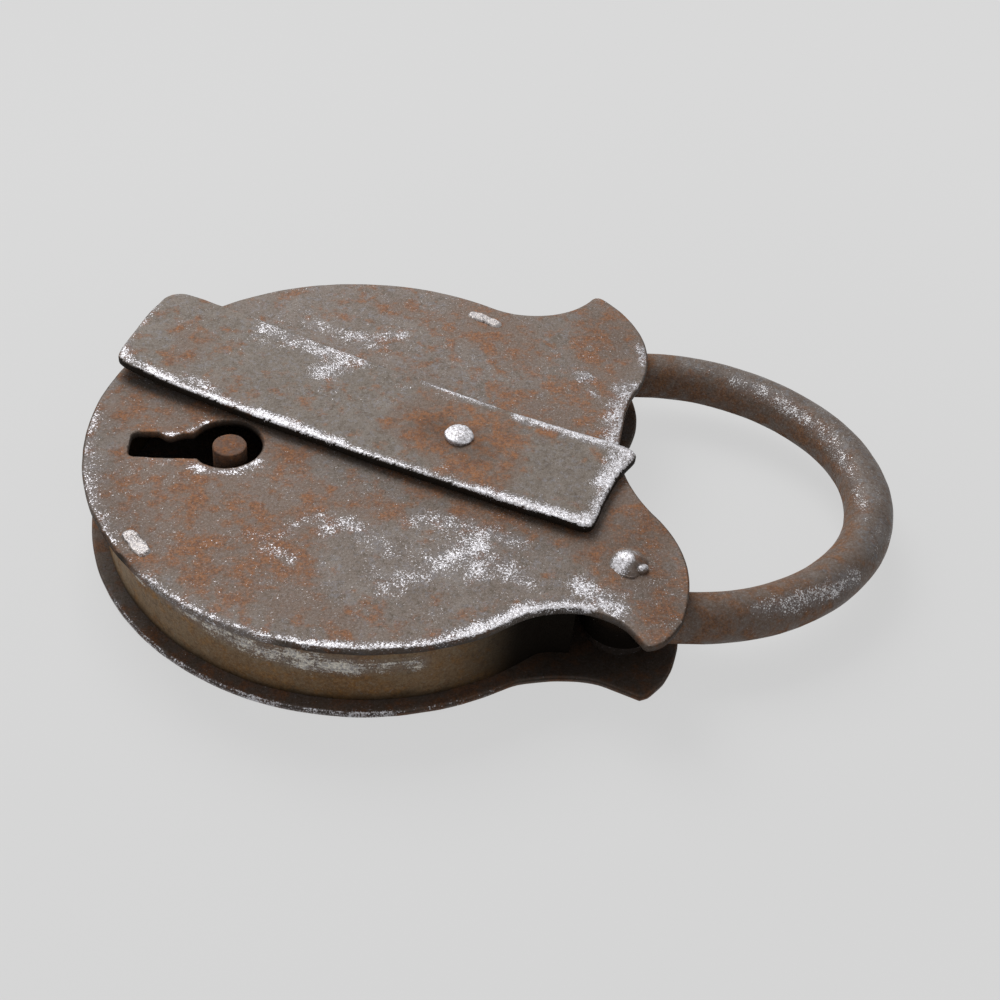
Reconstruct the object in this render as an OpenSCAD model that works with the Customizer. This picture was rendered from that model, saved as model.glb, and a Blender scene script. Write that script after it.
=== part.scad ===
// Old riveted plate padlock with a hinged round shackle, a swinging keyhole cover
// and a warded dead bolt. It lies on its back plate, unlocked, with the shackle shut
// and the cover swung clear of the keyhole.
// +X runs from the round body to the shackle, +Z out of the front plate, and the
// origin is the centre of the round body on the outer face of the back plate.

/* [Plates] */
// Diameter of the round part of both plates
body_d = 100; // [98:0.5:106]
// Thickness of the front and back plates
sheet_t = 1.5; // [1.2:0.1:2]
// Clear height between the plates
case_gap = 14; // [13:0.5:18]
// Plate left beyond each leg at the narrow neck
neck_rim = 3.2; // [2.4:0.1:5]
// Radius of the concave neck
neck_r = 16; // [14:0.5:18]
// Radius of the two horns beside the shackle
horn_r = 24.5; // [23:0.5:26]
// Step from a leg's centre line in to the horn's centre
horn_in = 3.1; // [1:0.1:5]
// Reach of the horns beyond the hinge
horn_out = 10; // [8:0.2:13]
// Radius of the hollow edge between the horns
valley_r = 32; // [28:1:40]
// Radius of each horn's tip
tip_r = 1.5; // [1:0.1:2.5]

/* [Walls] */
// Step from the plate's edge in to the wall
wall_inset = 2.7; // [2:0.1:3.5]
// Thickness of the bent walls
wall_t = 2.2; // [1.6:0.1:2.4]
// Step from a leg's centre line out to the face of the wall's turned ends
wall_end_out = 2.4; // [1.4:0.1:3.4]
// Radius of the bend into each turned end
wall_bend_r = 5; // [3:0.5:8]
// Space from the turned end to the opened shackle
wall_end_gap = 1.23; // [0.9:0.01:4]
// Length of a tenon of the wall
tenon_l = 7; // [5:0.5:9]
// Thickness of a tenon
tenon_t = 1.8; // [1.2:0.1:2]
// Half length of the front wall between the shackle's legs, as an angle about the horn
front_wall_turn = 8.7; // [4:0.1:10]
// Distance of the front wall's tenons from the middle line
front_tenon_y = 5; // [4:0.5:8]

/* [Shackle] */
// Diameter of the shackle's bar
bar_d = 9; // [8:0.2:10]
// Distance between the centre lines of the two legs
leg_pitch = 67.2; // [66:0.2:68]
// Reach of the shackle beyond the horns
shackle_out = 44.4; // [40:0.2:60]
// Radius of the bow's centre line beside the legs, beyond half the leg pitch
bow_side_out = 6.4; // [4.4:0.2:10]
// Radius of the bow's centre line at its crown, short of half the leg pitch
bow_crown_in = 3.6; // [1.6:0.2:5.6]
// Step of the hinge in front of the middle of the bolt's notch
hinge_out = 5.7; // [5:0.1:8]
// Step from the fixed leg's centre line in to the hinge
hinge_in = 3.4; // [2.4:0.1:4]
// Diameter of the eye forged round the hinge
eye_d = 14; // [12:0.2:14.4]
// Height of the eye's two faces above the bar
eye_lip = 0.1; // [0.1:0.05:0.4]
// Width of the bolt's notch in the free leg
notch_w = 6.2; // [5.4:0.1:6.6]
// Space left in that notch beyond the shot bolt
notch_floor = 0.8; // [0.4:0.1:1.5]
// Length of the leg beyond the notch
toe_l = 2.4; // [1.5:0.1:2.6]
// Chamfer at the end of the free leg
toe_chamfer = 1.2; // [0.4:0.1:1.5]
// Space from the wall's bend to the end of the free leg
toe_gap = 1.53; // [0.5:0.01:4]

/* [Rivets and pins] */
// Diameter of the hinge rivet's shank
hinge_rivet_d = 5; // [4:0.2:6]
// Diameter of its domed head
hinge_head_d = 7.2; // [6.6:0.2:8]
// Height of its domed head
hinge_head_h = 2; // [1.2:0.1:2.4]
// Cover pivot along X
cover_x = 16.8; // [14:0.2:17]
// Diameter of the cover rivet's shank
cover_rivet_d = 3.4; // [3:0.2:4]
// Diameter of its flat peened head
cover_head_d = 5.4; // [4.8:0.2:7]
// Height of that head
cover_head_h = 0.9; // [0.6:0.1:1.2]
// Diameter of the key pin
key_pin_d = 6.2; // [5:0.2:6.4]
// Key pin along X
key_x = -24.4; // [-26:0.2:-24]
// Key pin along Y
key_y = -1.8; // [-3:0.2:0]
// Diameter of the stump that guides the bolt's nose
nose_stump_d = 4; // [3.4:0.1:4.2]
// Step of the nose stump in front of the middle of the notch
nose_stump_out = 2.2; // [2:0.1:2.6]
// Step of the nose stump in from the free leg's side
nose_stump_in = 7.6; // [7.2:0.1:9]
// Diameter of the stump in the bolt's slot
slot_stump_d = 3.5; // [3:0.1:4]
// Step of the slot stump in front of the talon
slot_stump_out = 11.1; // [9.5:0.1:13]
// Diameter of the riveted ends in the back plate
tail_d = 2.4; // [2:0.1:3]

/* [Keyhole and cover] */
// Diameter of the keyhole's round part
keyhole_d = 12.8; // [11:0.2:14]
// Reach of the keyhole's slot from the key pin
slot_reach = 17.6; // [15:0.2:18]
// Width of that slot
slot_w = 6.4; // [5:0.2:7]
// Radius at the slot's far corners
slot_corner = 1.4; // [0.4:0.1:2]
// Radius of the burr that pinches the slot
burr_r = 1.6; // [0.8:0.1:2]
// Distance of the burr from the key pin
burr_reach = 10.8; // [9:0.2:12]
// Length of the cover from its rivet to the keyhole end
cover_long = 67.6; // [64:0.2:70]
// Length of the cover from its rivet to the other end
cover_short = 30; // [26:0.2:34]
// Width of the cover
cover_w = 23.4; // [20:0.2:26]
// Thickness of the cover
cover_t = 1.9; // [1.4:0.1:2.2]
// Rise of the cover's long end above the front plate
cover_rise = 1.6; // [0.5:0.1:2.5]
// Angle of the open cover below the -X direction
cover_angle = -26.5; // [-40:0.5:-22]

/* [Bolt works] */
// Thickness of the bolt
bolt_t = 3; // [2.4:0.2:4]
// Travel of the bolt
bolt_travel = 5; // [4.6:0.1:5.2]
// Reach of the key's bit from the key pin
bit_reach = 16.5; // [14:0.5:17]
// Depth of the talon, where the bit catches the bolt
talon_deep = 4.9; // [3:0.1:6]
// Width of the talon
talon_w = 6.4; // [5:0.2:7]
// Thickness of each jaw of the talon
jaw_w = 4.4; // [4.2:0.2:6]
// Width of the bolt's stem
stem_w = 9; // [7:0.2:10]
// Width of the bolt's head beside the nose stump
head_w = 6.4; // [5:0.2:6.4]
// Width of the bridge over the stem
bridge_w = 6; // [4:0.5:7]
// Step of the bridge behind the bolt's head
bridge_back = 12; // [11:0.5:14]
// Thickness of the bridge
bridge_t = 2; // [1.6:0.1:2.4]
// Thickness of the detent spring
leaf_t = 0.7; // [0.5:0.05:0.8]
// Height of the detent spring
leaf_h = 5; // [4:0.2:6]
// Step of the spring post behind the bolt's head
post_back = 6.5; // [5.5:0.1:7]
// Step of the spring post from the detent towards the free leg
post_out = 5; // [4.5:0.1:6]
// Diameter of the spring post
post_d = 4.4; // [4:0.1:5]
// Radius of the ward ring's middle
ward_r = 7.9; // [7:0.1:8]
// Thickness of the ward ring
ward_t = 1.2; // [0.8:0.1:2]
// Height of the ward ring
ward_h = 2.7; // [2:0.1:4]

/* [Clearances] */
// Play round a riveted shank or tenon
seat_gap = 0.05; // [0.03:0.01:0.1]
// Play round the shackle's and the cover's pivots
pivot_gap = 0.06; // [0.03:0.01:0.09]
// Space between other pieces that move past each other
run_gap = 0.3; // [0.2:0.05:0.4]

/* [Hidden] */
$fn = 64;

arc_step = 5;
case_h = case_gap + 2 * sheet_t;
mid_z = case_h / 2;
front_z = case_h - sheet_t;
body_r = body_d / 2;
bar_r = bar_d / 2;
leg_y = leg_pitch / 2;
eye_rim = 0.9;

// The wall follows the body at its inset and bends in to the turned ends.
wall_r = body_r - wall_inset;
wall_end_y = leg_y + wall_end_out;
wall_bend_y = wall_end_y + wall_bend_r;
wall_bend_x = sqrt(pow(wall_r + wall_bend_r, 2) - pow(wall_bend_y, 2));
wall_bend_turn = atan2(wall_bend_y, wall_bend_x);

// The free leg ends in front of the bend; the notch, hinge, stump and horns follow it.
toe_x = wall_bend_x + toe_gap;
notch_x = toe_x + toe_l + notch_w / 2;
hinge_x = notch_x + hinge_out;
hinge_y = hinge_in - leg_y;
nose_stump_x = notch_x + nose_stump_out;
nose_stump_y = leg_y - bar_r - nose_stump_in;
horn_reach = hinge_x + horn_out;
wall_clear = max(hinge_in + bar_r, eye_d / 2 + eye_rim);
wall_tail = hinge_x - wall_clear - wall_end_gap - wall_bend_x;

// The neck's arc touches the round body, and the valley's arc touches both horns.
neck_y = leg_y + bar_r + neck_rim + neck_r;
neck_x = sqrt(pow(body_r + neck_r, 2) - pow(neck_y, 2));
horn_x = horn_reach - horn_r;
horn_y = leg_y - horn_in;
valley_x = horn_x + sqrt(pow(horn_r + valley_r, 2) - pow(horn_y, 2));
tenon_angles = [-142.8, 59.4, 142.8];
front_wall_r = valley_r + wall_inset + wall_t / 2;

// Three arcs make the bow: two beside the legs and one round the crown.
bow_side_r = leg_y + bow_side_out;
bow_crown_r = leg_y - bow_crown_in;
bow_offset = bow_side_r - bow_crown_r;
bow_y = bow_side_r - leg_y;
bow_turn = asin(bow_y / bow_offset);
bar_step = 0.02;
bow_crown_x = horn_reach + shackle_out - bar_r - bow_crown_r;
bow_x = bow_crown_x - bow_offset * cos(bow_turn);
leg_root_x = hinge_x + 1.3;
eye_t = bar_d + 2 * eye_lip;

// The keyhole lies a little off the pin, as it was cut by hand.
keyhole_x = key_x - 0.5;
keyhole_y = key_y + 0.3;
slot_x = key_x - slot_reach;
slot_y = key_y - 0.6;

// The works are laid out from the key pin, the free leg and the two stumps.
bit_play = 0.8;
slot_rim = 4;
nose_gap = 0.5;
shoulder_gap = 1.1;
shoulder_slope = 4;
bolt_z = mid_z - bolt_t / 2;
talon_y = key_y - bolt_travel / 2;
talon_x = key_x + bit_reach + bit_play;
slot_stump_x = talon_x + slot_stump_out;
tail_half = talon_w / 2 + jaw_w;
tail_end_x = slot_stump_x + slot_stump_d / 2 + run_gap + slot_rim;
slot_half = (bolt_travel + slot_stump_d) / 2 + run_gap;
head_x1 = nose_stump_x - nose_stump_d / 2 - run_gap;
head_x0 = head_x1 - head_w;
nose_half = notch_w / 2 - run_gap;
nose_y0 = nose_stump_y + nose_stump_d / 2 + run_gap;
nose_y1 = leg_y - bar_r - nose_gap;
notch_deep = bolt_travel - nose_gap + notch_floor;
stem_y0 = talon_y - stem_w / 2;
stem_y1 = talon_y + stem_w / 2;
shoulder_y = nose_y1 - bolt_travel - shoulder_gap;
detent_y = 10;
detent_deep = 0.6;
leaf_x = head_x0 - run_gap - leaf_t / 2;
post_x = head_x0 - post_back;
post_y = detent_y + post_out;
leaf_turn = atan2(detent_y - post_y, leaf_x - post_x);
leaf_back = 247;
leaf_tail = detent_y - stem_y1 - bolt_travel - run_gap - leaf_t / 2;
bridge_x = head_x0 - bridge_back;
bridge_z = bolt_z + bolt_t + run_gap;
bridge_y0 = stem_y0 - run_gap;
bridge_y1 = stem_y1 + bolt_travel + run_gap;
bridge_leg = 2.5;
seat_play = 0.1;
spacer_t = (case_gap - eye_t) / 2 - seat_play;
pin_tail_d = key_pin_d - 1.6;
stump_foot_d = slot_stump_d + 3;
stump_top = 1.5;
cover_z = case_h + run_gap;
cover_tail_d = 6.8;
cover_tail_h = 1.1;
cover_lift_x = -8;
cover_corner = 5.5;
cover_corner_small = 2.2;
cover_flare = 0.6;
sink = 0.1;

// Points of an arc about c, from angle a0 to a1.
function arc(c, r, a0, a1) =
    let (n = max(2, ceil(abs(a1 - a0) / arc_step)))
    [for (i = [0:n]) let (a = a0 + (a1 - a0) * i / n) c + r * [cos(a), sin(a)]];

// Where two circles meet, on the side away from the middle line's front.
function circles_meet(p, pr, q, qr) =
    let (d = norm(q - p), u = (q - p) / d,
         s = (d * d + pr * pr - qr * qr) / (2 * d), h = sqrt(pr * pr - s * s))
    p + s * u + h * [-u[1], u[0]];

function angle_to(p, q) = atan2(q[1] - p[1], q[0] - p[0]);
function flip(pts) = [for (i = [len(pts) - 1:-1:0]) [pts[i][0], -pts[i][1]]];

// Upper half of the plate's edge, from the valley round the horn to the rear.
function plate_half() =
    let (v = [valley_x, 0], h = [horn_x, horn_y], n = [neck_x, neck_y],
         t = circles_meet(n, neck_r + tip_r, h, horn_r - tip_r),
         to_neck = angle_to(n, t))
    concat(arc(v, valley_r, 180, angle_to(v, h)),
           arc(h, horn_r, angle_to(h, v), angle_to(h, t)),
           arc(t, tip_r, angle_to(h, t), to_neck + 180),
           arc(n, neck_r, to_neck, angle_to([0, 0], n) - 180),
           arc([0, 0], body_r, angle_to([0, 0], n), 180));

module plate_outline() {
    half = plate_half();
    polygon(concat(half, flip([for (i = [1:len(half) - 2]) half[i]])));
}

// One face of the side wall at a step in from its outer face.
function wall_half(step) =
    arc([wall_bend_x, wall_bend_y], wall_bend_r + step, 270, wall_bend_turn + 180);

function wall_path(step) =
    let (half = wall_half(step), w = wall_bend_turn)
    concat(half, arc([0, 0], wall_r - step, w, 360 - w), flip(half),
           [[wall_bend_x + wall_tail, step - wall_end_y]]);

// Places of the wall's tenons, in their own frame of radius and turn.
module at_wall_tenons() {
    for (a = tenon_angles)
        rotate(a) translate([wall_r - wall_t / 2, 0, 0]) children();
}

// Places of the front wall's tenons.
module at_front_tenon(side) {
    turn = asin(front_tenon_y / front_wall_r);
    translate([valley_x, 0, 0]) rotate(180 - side * turn)
        translate([front_wall_r, 0, 0]) children();
}

module tenon(length, z0, z1, play = 0) {
    translate([-tenon_t / 2 - play, -length / 2 - play, z0])
        cube([tenon_t + 2 * play, length + 2 * play, z1 - z0]);
}

module pin(x, y, d, z0, z1) {
    translate([x, y, z0]) cylinder(h = z1 - z0, d = d);
}

module bore(x, y, d, z0, play) {
    translate([x, y, z0 - 1]) cylinder(h = sheet_t + 2, d = d + 2 * play);
}

// The round hole for the key's barrel and the slot for its bit, pinched by a burr.
module keyhole_shape() {
    difference() {
        union() {
            translate([keyhole_x, keyhole_y]) circle(d = keyhole_d);
            translate([slot_x + slot_corner, slot_y - slot_w / 2])
                square([slot_reach - slot_corner, slot_w]);
            translate([slot_x, slot_y - slot_w / 2 + slot_corner])
                square([slot_reach, slot_w - 2 * slot_corner]);
            for (s = [-1, 1])
                translate([slot_x + slot_corner, slot_y + s * (slot_w / 2 - slot_corner)])
                    circle(r = slot_corner);
        }
        translate([key_x - burr_reach, slot_y + slot_w / 2 + burr_r / 4]) circle(r = burr_r);
    }
}

module back_plate() {
    color("#6d5f55") difference() {
        linear_extrude(sheet_t) plate_outline();
        bore(hinge_x, hinge_y, hinge_rivet_d, 0, seat_gap);
        bore(nose_stump_x, nose_stump_y, nose_stump_d, 0, seat_gap);
        bore(slot_stump_x, key_y, tail_d, 0, seat_gap);
        bore(key_x, key_y, pin_tail_d, 0, seat_gap);
        bore(post_x, post_y, tail_d, 0, seat_gap);
        for (y = [bridge_y0 - bridge_leg / 2, bridge_y1 + bridge_leg / 2])
            bore(bridge_x, y, tail_d, 0, seat_gap);
        for (s = [-1, 1])
            bore(key_x, key_y + s * ward_r, ward_t, 0, seat_gap);
        at_wall_tenons() tenon(tenon_l, -1, sheet_t + 1, seat_gap);
        for (s = [-1, 1])
            at_front_tenon(s) tenon(tenon_l, -1, sheet_t + 1, seat_gap);
    }
}

module front_plate() {
    color("#75665b") difference() {
        translate([0, 0, front_z]) linear_extrude(sheet_t) plate_outline();
        translate([0, 0, front_z - 1]) linear_extrude(sheet_t + 2) keyhole_shape();
        bore(hinge_x, hinge_y, hinge_rivet_d, front_z, seat_gap);
        bore(nose_stump_x, nose_stump_y, nose_stump_d, front_z, seat_gap);
        bore(cover_x, 0, cover_rivet_d, front_z, seat_gap);
        at_wall_tenons() tenon(tenon_l, front_z - 1, case_h + 1, seat_gap);
        at_front_tenon(-1) tenon(tenon_l, front_z - 1, case_h + 1, seat_gap);
    }
}

// The side wall, one bent strip, with tenons through both plates.
module case_band() {
    outer = wall_path(0);
    inner = wall_path(wall_t);
    inner_back = [for (i = [len(inner) - 1:-1:0]) inner[i]];
    color("#5a4a36") union() {
        translate([0, 0, sheet_t]) linear_extrude(case_gap) polygon(concat(outer, inner_back));
        at_wall_tenons() tenon(tenon_l, 0, case_h);
    }
}

// The short wall that closes the front between the two legs.
module front_wall() {
    v = [valley_x, 0];
    h = [horn_x, horn_y];
    a = angle_to(v, h);
    b = a - 180;
    function face(step) =
        let (up = concat(arc(v, valley_r + step, 180, a),
                         arc(h, horn_r - step, b, b + front_wall_turn)))
        concat(flip([for (i = [1:len(up) - 1]) up[i]]), up);
    outer = face(wall_inset);
    inner = face(wall_inset + wall_t);
    inner_back = [for (i = [len(inner) - 1:-1:0]) inner[i]];
    color("#5a4a36") union() {
        translate([0, 0, sheet_t]) linear_extrude(case_gap) polygon(concat(outer, inner_back));
        at_front_tenon(-1) tenon(tenon_l, 0, case_h);
        at_front_tenon(1) tenon(tenon_l, 0, sheet_t + 1);
    }
}

// A bent run of the bar, a hair thinner than the run that it continues.
module bow_arc(r, a0, a1, steps) {
    rotate(a0) rotate_extrude(angle = a1 - a0)
        translate([r, 0]) circle(r = bar_r - steps * bar_step);
}

// One round bar, bent to a bow, with the hinge's eye and the notched free leg.
module shackle() {
    color("#62544a") translate([0, 0, mid_z]) difference() {
        union() {
            translate([leg_root_x, -leg_y, 0]) rotate([0, 90, 0])
                cylinder(h = bow_x - leg_root_x, r = bar_r);
            translate([toe_x + toe_chamfer, leg_y, 0]) rotate([0, 90, 0])
                cylinder(h = bow_x - toe_x - toe_chamfer, r = bar_r);
            translate([toe_x, leg_y, 0]) rotate([0, 90, 0])
                cylinder(h = toe_chamfer, r1 = bar_r - toe_chamfer, r2 = bar_r);
            translate([bow_x, -bow_y, 0]) bow_arc(bow_side_r, bow_turn, 90, 1);
            translate([bow_x, bow_y, 0]) bow_arc(bow_side_r, -90, -bow_turn, 1);
            translate([bow_crown_x, 0, 0]) bow_arc(bow_crown_r, -bow_turn, bow_turn, 2);
            translate([hinge_x, hinge_y, -eye_t / 2]) cylinder(h = eye_t, d = eye_d);
        }
        translate([hinge_x, hinge_y, -eye_t])
            cylinder(h = 2 * eye_t, d = hinge_rivet_d + 2 * pivot_gap);
        translate([notch_x - notch_w / 2, leg_y - bar_r - 1, -bar_d])
            cube([notch_w, notch_deep + 1, 2 * bar_d]);
    }
}

// Dome of a rivet's head: a slice of a ball as wide as the head.
module dome(d, h) {
    ball_r = (d * d / 4 + h * h) / (2 * h);
    intersection() {
        translate([0, 0, h - ball_r]) sphere(r = ball_r);
        cylinder(h = 2 * h, d = 2 * d);
    }
}

module hinge_rivet() {
    color("#8c8279") union() {
        pin(hinge_x, hinge_y, hinge_rivet_d, 0, case_h + sink);
        translate([hinge_x, hinge_y, case_h]) dome(hinge_head_d, hinge_head_h);
    }
}

module hinge_spacer(z) {
    color("#5e554d") difference() {
        pin(hinge_x, hinge_y, eye_d - 2, z, z + spacer_t);
        pin(hinge_x, hinge_y, hinge_rivet_d + 2 * pivot_gap, z - 1, z + spacer_t + 1);
    }
}
module hinge_spacer_back() { hinge_spacer(sheet_t); }
module hinge_spacer_front() { hinge_spacer(front_z - spacer_t); }

module key_pin() {
    color("#857a70") union() {
        pin(key_x, key_y, key_pin_d, sheet_t, case_h);
        pin(key_x, key_y, pin_tail_d, 0, sheet_t + 1);
    }
}

module ward_ring() {
    color("#5e554d") union() {
        difference() {
            pin(key_x, key_y, 2 * ward_r + ward_t, sheet_t, sheet_t + ward_h);
            pin(key_x, key_y, 2 * ward_r - ward_t, 0, case_h);
        }
        for (s = [-1, 1])
            pin(key_x, key_y + s * ward_r, ward_t - sink, 0, sheet_t + 1);
    }
}

// Flat bolt: talon and slot at the tail, a long stem, and a nose towards the free leg.
module bolt() {
    color("#6a625a") translate([0, 0, bolt_z]) linear_extrude(bolt_t) difference() {
        union() {
            translate([talon_x - talon_deep, talon_y - tail_half])
                square([tail_end_x - talon_x + talon_deep, 2 * tail_half]);
            translate([tail_end_x - 1, stem_y0]) square([head_x1 - tail_end_x + 1, stem_w]);
            polygon([[head_x0, stem_y0], [head_x1, stem_y0], [head_x1, nose_y0],
                     [notch_x + nose_half, nose_y0], [notch_x + nose_half, nose_y1],
                     [notch_x - nose_half, nose_y1], [notch_x - nose_half, shoulder_y],
                     [head_x0, shoulder_y - shoulder_slope]]);
        }
        translate([talon_x - talon_deep - 1, talon_y - talon_w / 2])
            square([talon_deep + 1, talon_w]);
        translate([slot_stump_x, talon_y]) stump_slot();
        for (y = [detent_y, detent_y - bolt_travel])
            translate([head_x0, y]) rotate(45) square(detent_deep * sqrt(2), center = true);
    }
}

// Slot for the stump, as long as the travel.
module stump_slot() {
    r = slot_stump_d / 2 + run_gap;
    translate([-r, r - slot_half]) square([2 * r, 2 * (slot_half - r)]);
    for (s = [-1, 1])
        translate([0, s * (slot_half - r)]) circle(r = r);
}

module nose_stump() {
    color("#857a70") pin(nose_stump_x, nose_stump_y, nose_stump_d, 0, case_h);
}

module slot_stump() {
    color("#857a70") union() {
        pin(slot_stump_x, key_y, stump_foot_d, sheet_t, bolt_z - seat_play);
        pin(slot_stump_x, key_y, slot_stump_d, sheet_t, bolt_z + bolt_t + stump_top);
        pin(slot_stump_x, key_y, tail_d, 0, sheet_t + 1);
    }
}

module bolt_bridge() {
    color("#5e554d") union() {
        translate([bridge_x - bridge_w / 2, bridge_y0 - bridge_leg, bridge_z])
            cube([bridge_w, bridge_y1 - bridge_y0 + 2 * bridge_leg, bridge_t]);
        for (y = [bridge_y0 - bridge_leg, bridge_y1])
            translate([bridge_x - bridge_w / 2, y, sheet_t])
                cube([bridge_w, bridge_leg, bridge_z - sheet_t + bridge_t]);
        for (y = [bridge_y0 - bridge_leg / 2, bridge_y1 + bridge_leg / 2])
            pin(bridge_x, y, tail_d, 0, sheet_t + 1);
    }
}

module leaf_run(p, turn, length, t) {
    translate(p) rotate(turn) translate([0, -t / 2]) square([length, t]);
}

// A thin bent leaf held in the split post, its knee beside the bolt's two notches.
module detent_spring() {
    knee = [leaf_x, detent_y];
    reach = norm(knee - [post_x, post_y]);
    color("#4f4a45") translate([0, 0, mid_z - leaf_h / 2]) linear_extrude(leaf_h) union() {
        leaf_run([post_x, post_y], leaf_turn, reach, leaf_t);
        leaf_run([post_x, post_y], leaf_turn + 180, post_d / 2 + 1, leaf_t);
        leaf_run(knee, leaf_back, leaf_tail, leaf_t);
        translate(knee) circle(d = leaf_t);
    }
}

module spring_post() {
    color("#857a70") difference() {
        union() {
            pin(post_x, post_y, post_d, sheet_t, mid_z + leaf_h / 2 + 1);
            pin(post_x, post_y, tail_d, 0, sheet_t + 1);
        }
        translate([0, 0, mid_z - leaf_h / 2]) linear_extrude(case_gap)
            leaf_run([post_x, post_y] - post_d * [cos(leaf_turn), sin(leaf_turn)],
                     leaf_turn, 2 * post_d, leaf_t + 2 * seat_play);
    }
}

// Edge of the cover seen from above, with its rivet at the origin.
module cover_outline() {
    w = cover_w / 2;
    big = cover_corner;
    small = cover_corner_small;
    polygon(concat(
        [[cover_short - cover_flare / 2, -w], [cover_short - cover_flare, -0.3 * w],
         [cover_short, 0.85 * w], [cover_short - 2.5 * cover_flare, w]],
        arc([big - cover_long, w + cover_flare - big], big, 90, 180),
        arc([small - cover_long + 2 * cover_flare, small - w + cover_flare], small, 180, 270)));
}

// Section along the cover: flat from the short end past the rivet, then a gentle lift.
module cover_profile() {
    run = cover_long + cover_lift_x;
    lift_r = (run * run + cover_rise * cover_rise) / (2 * cover_rise);
    a = asin(run / lift_r);
    steps = 8;
    top = [for (i = [0:steps]) let (b = a * i / steps)
           [cover_lift_x - lift_r * sin(b), lift_r * (1 - cos(b))]];
    low = [for (i = [steps:-1:0]) top[i]];
    polygon(concat([[cover_short + 2, cover_t]],
                   [for (p = top) p + [0, cover_t]], [top[steps] - [3, 0]],
                   low, [[cover_short + 2, 0]]));
}

// A hand-cut strip that swings about its rivet; its long end stands a little proud.
module keyhole_cover() {
    color("#7b6e66") translate([cover_x, 0, cover_z]) rotate(cover_angle) difference() {
        intersection() {
            linear_extrude(cover_t + 2 * cover_rise + 1) cover_outline();
            translate([0, cover_w, 0]) rotate([90, 0, 0])
                linear_extrude(2 * cover_w) cover_profile();
        }
        translate([0, 0, -1]) cylinder(h = cover_t + 2, d = cover_rivet_d + 2 * pivot_gap);
    }
}

module cover_rivet() {
    color("#8c8279") union() {
        pin(cover_x, 0, cover_tail_d, front_z - cover_tail_h, front_z);
        pin(cover_x, 0, cover_rivet_d, front_z - cover_tail_h, cover_z + cover_t + cover_head_h);
        translate([cover_x, 0, cover_z + cover_t + sink])
            cylinder(h = cover_head_h, d1 = cover_head_d, d2 = cover_head_d - 1);
    }
}

back_plate();
case_band();
front_wall();
front_plate();
shackle();
hinge_rivet();
hinge_spacer_back();
hinge_spacer_front();
key_pin();
ward_ring();
bolt();
nose_stump();
slot_stump();
bolt_bridge();
detent_spring();
spring_post();
keyhole_cover();
cover_rivet();
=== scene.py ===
import logging
import math
from collections.abc import Callable, Iterable
from dataclasses import dataclass, field, replace
from enum import Enum
from typing import ClassVar

import bmesh
import bpy
from bmesh.types import BMEdge, BMesh, BMVert
from mathutils import Matrix, Vector, noise
from mathutils.geometry import intersect_point_line


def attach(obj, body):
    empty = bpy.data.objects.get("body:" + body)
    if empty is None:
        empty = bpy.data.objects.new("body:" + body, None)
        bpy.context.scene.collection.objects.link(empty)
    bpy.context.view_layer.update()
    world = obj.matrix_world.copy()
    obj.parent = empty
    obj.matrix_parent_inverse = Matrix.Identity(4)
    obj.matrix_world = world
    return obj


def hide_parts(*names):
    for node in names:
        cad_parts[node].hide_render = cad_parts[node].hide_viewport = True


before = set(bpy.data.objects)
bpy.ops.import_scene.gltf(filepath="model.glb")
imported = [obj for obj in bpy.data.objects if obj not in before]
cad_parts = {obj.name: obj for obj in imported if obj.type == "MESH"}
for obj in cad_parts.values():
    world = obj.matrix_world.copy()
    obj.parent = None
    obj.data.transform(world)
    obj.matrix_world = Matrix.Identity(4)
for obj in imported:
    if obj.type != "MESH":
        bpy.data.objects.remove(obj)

LOG = logging.getLogger("padlock")
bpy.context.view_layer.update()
MM = 0.001
UP = Vector((0.0, 0.0, 1.0))

Spot = tuple[float, ...]
Colour = tuple[float, float, float]

# Heights of the case, in millimetres: a plate's thickness, the front plate's two faces,
# the middle of the shackle's bar, and the walls between the plates.
SHEET = 1.5
FRONT_TOP = 17.0
FRONT_LOW = 15.5
BAR_Z = 8.5
WALL_TALL = FRONT_LOW - SHEET + 0.1
# Points nearer to each other than this are one point, in millimetres.
SAME = 0.01


class Body(Enum):
    """Bodies of the lock that the finished pieces ride on."""

    CASE = "case"
    SHACKLE = "shackle"
    COVER = "cover"


class Carve(Enum):
    """How a second solid changes the first."""

    CUT = "DIFFERENCE"
    JOIN = "UNION"


# ---------------------------------------------------------------- wear marks


def ease(share: float) -> float:
    """Smooth step from 0 to 1, held at both ends."""
    share = min(1.0, max(0.0, share))
    return share * share * (3.0 - 2.0 * share)


@dataclass(frozen=True)
class Rub:
    """A line of the surface that is rubbed, stained or rusted.

    Attributes:
        strength: Value on the line itself.
        reach: Distance over which it fades out, in millimetres.
        path: The line's corners, in millimetres.
    """

    strength: float
    reach: float
    path: tuple[Spot, ...]

    def at(self, point: Vector) -> float:
        """Value of the mark at a point.

        Args:
            point: Place on the surface, in millimetres.

        Returns:
            Its strength there, fading to nothing at its reach.
        """
        spots = [Vector(spot).resized(3) for spot in self.path]
        flat = len(self.path[0]) == 2
        here = Vector((point.x, point.y, 0.0)) if flat else point
        nearest = min((here - spot).length for spot in spots)
        for first, second in zip(spots, spots[1:]):
            foot, share = intersect_point_line(here, first, second)
            if 0.0 < share < 1.0:
                nearest = min(nearest, (here - foot).length)
        return self.strength * ease(1.0 - nearest / self.reach)


def strongest(marks: Iterable[Rub], point: Vector) -> float:
    """The strongest of several marks at a point."""
    return max((mark.at(point) for mark in marks), default=0.0)


def stain_at(marks: Iterable[Rub], point: Vector) -> float:
    """The strongest rust at a point plus its cleanest mark, which is negative."""
    return strongest(marks, point) + min(mark.at(point) for mark in marks)


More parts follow.
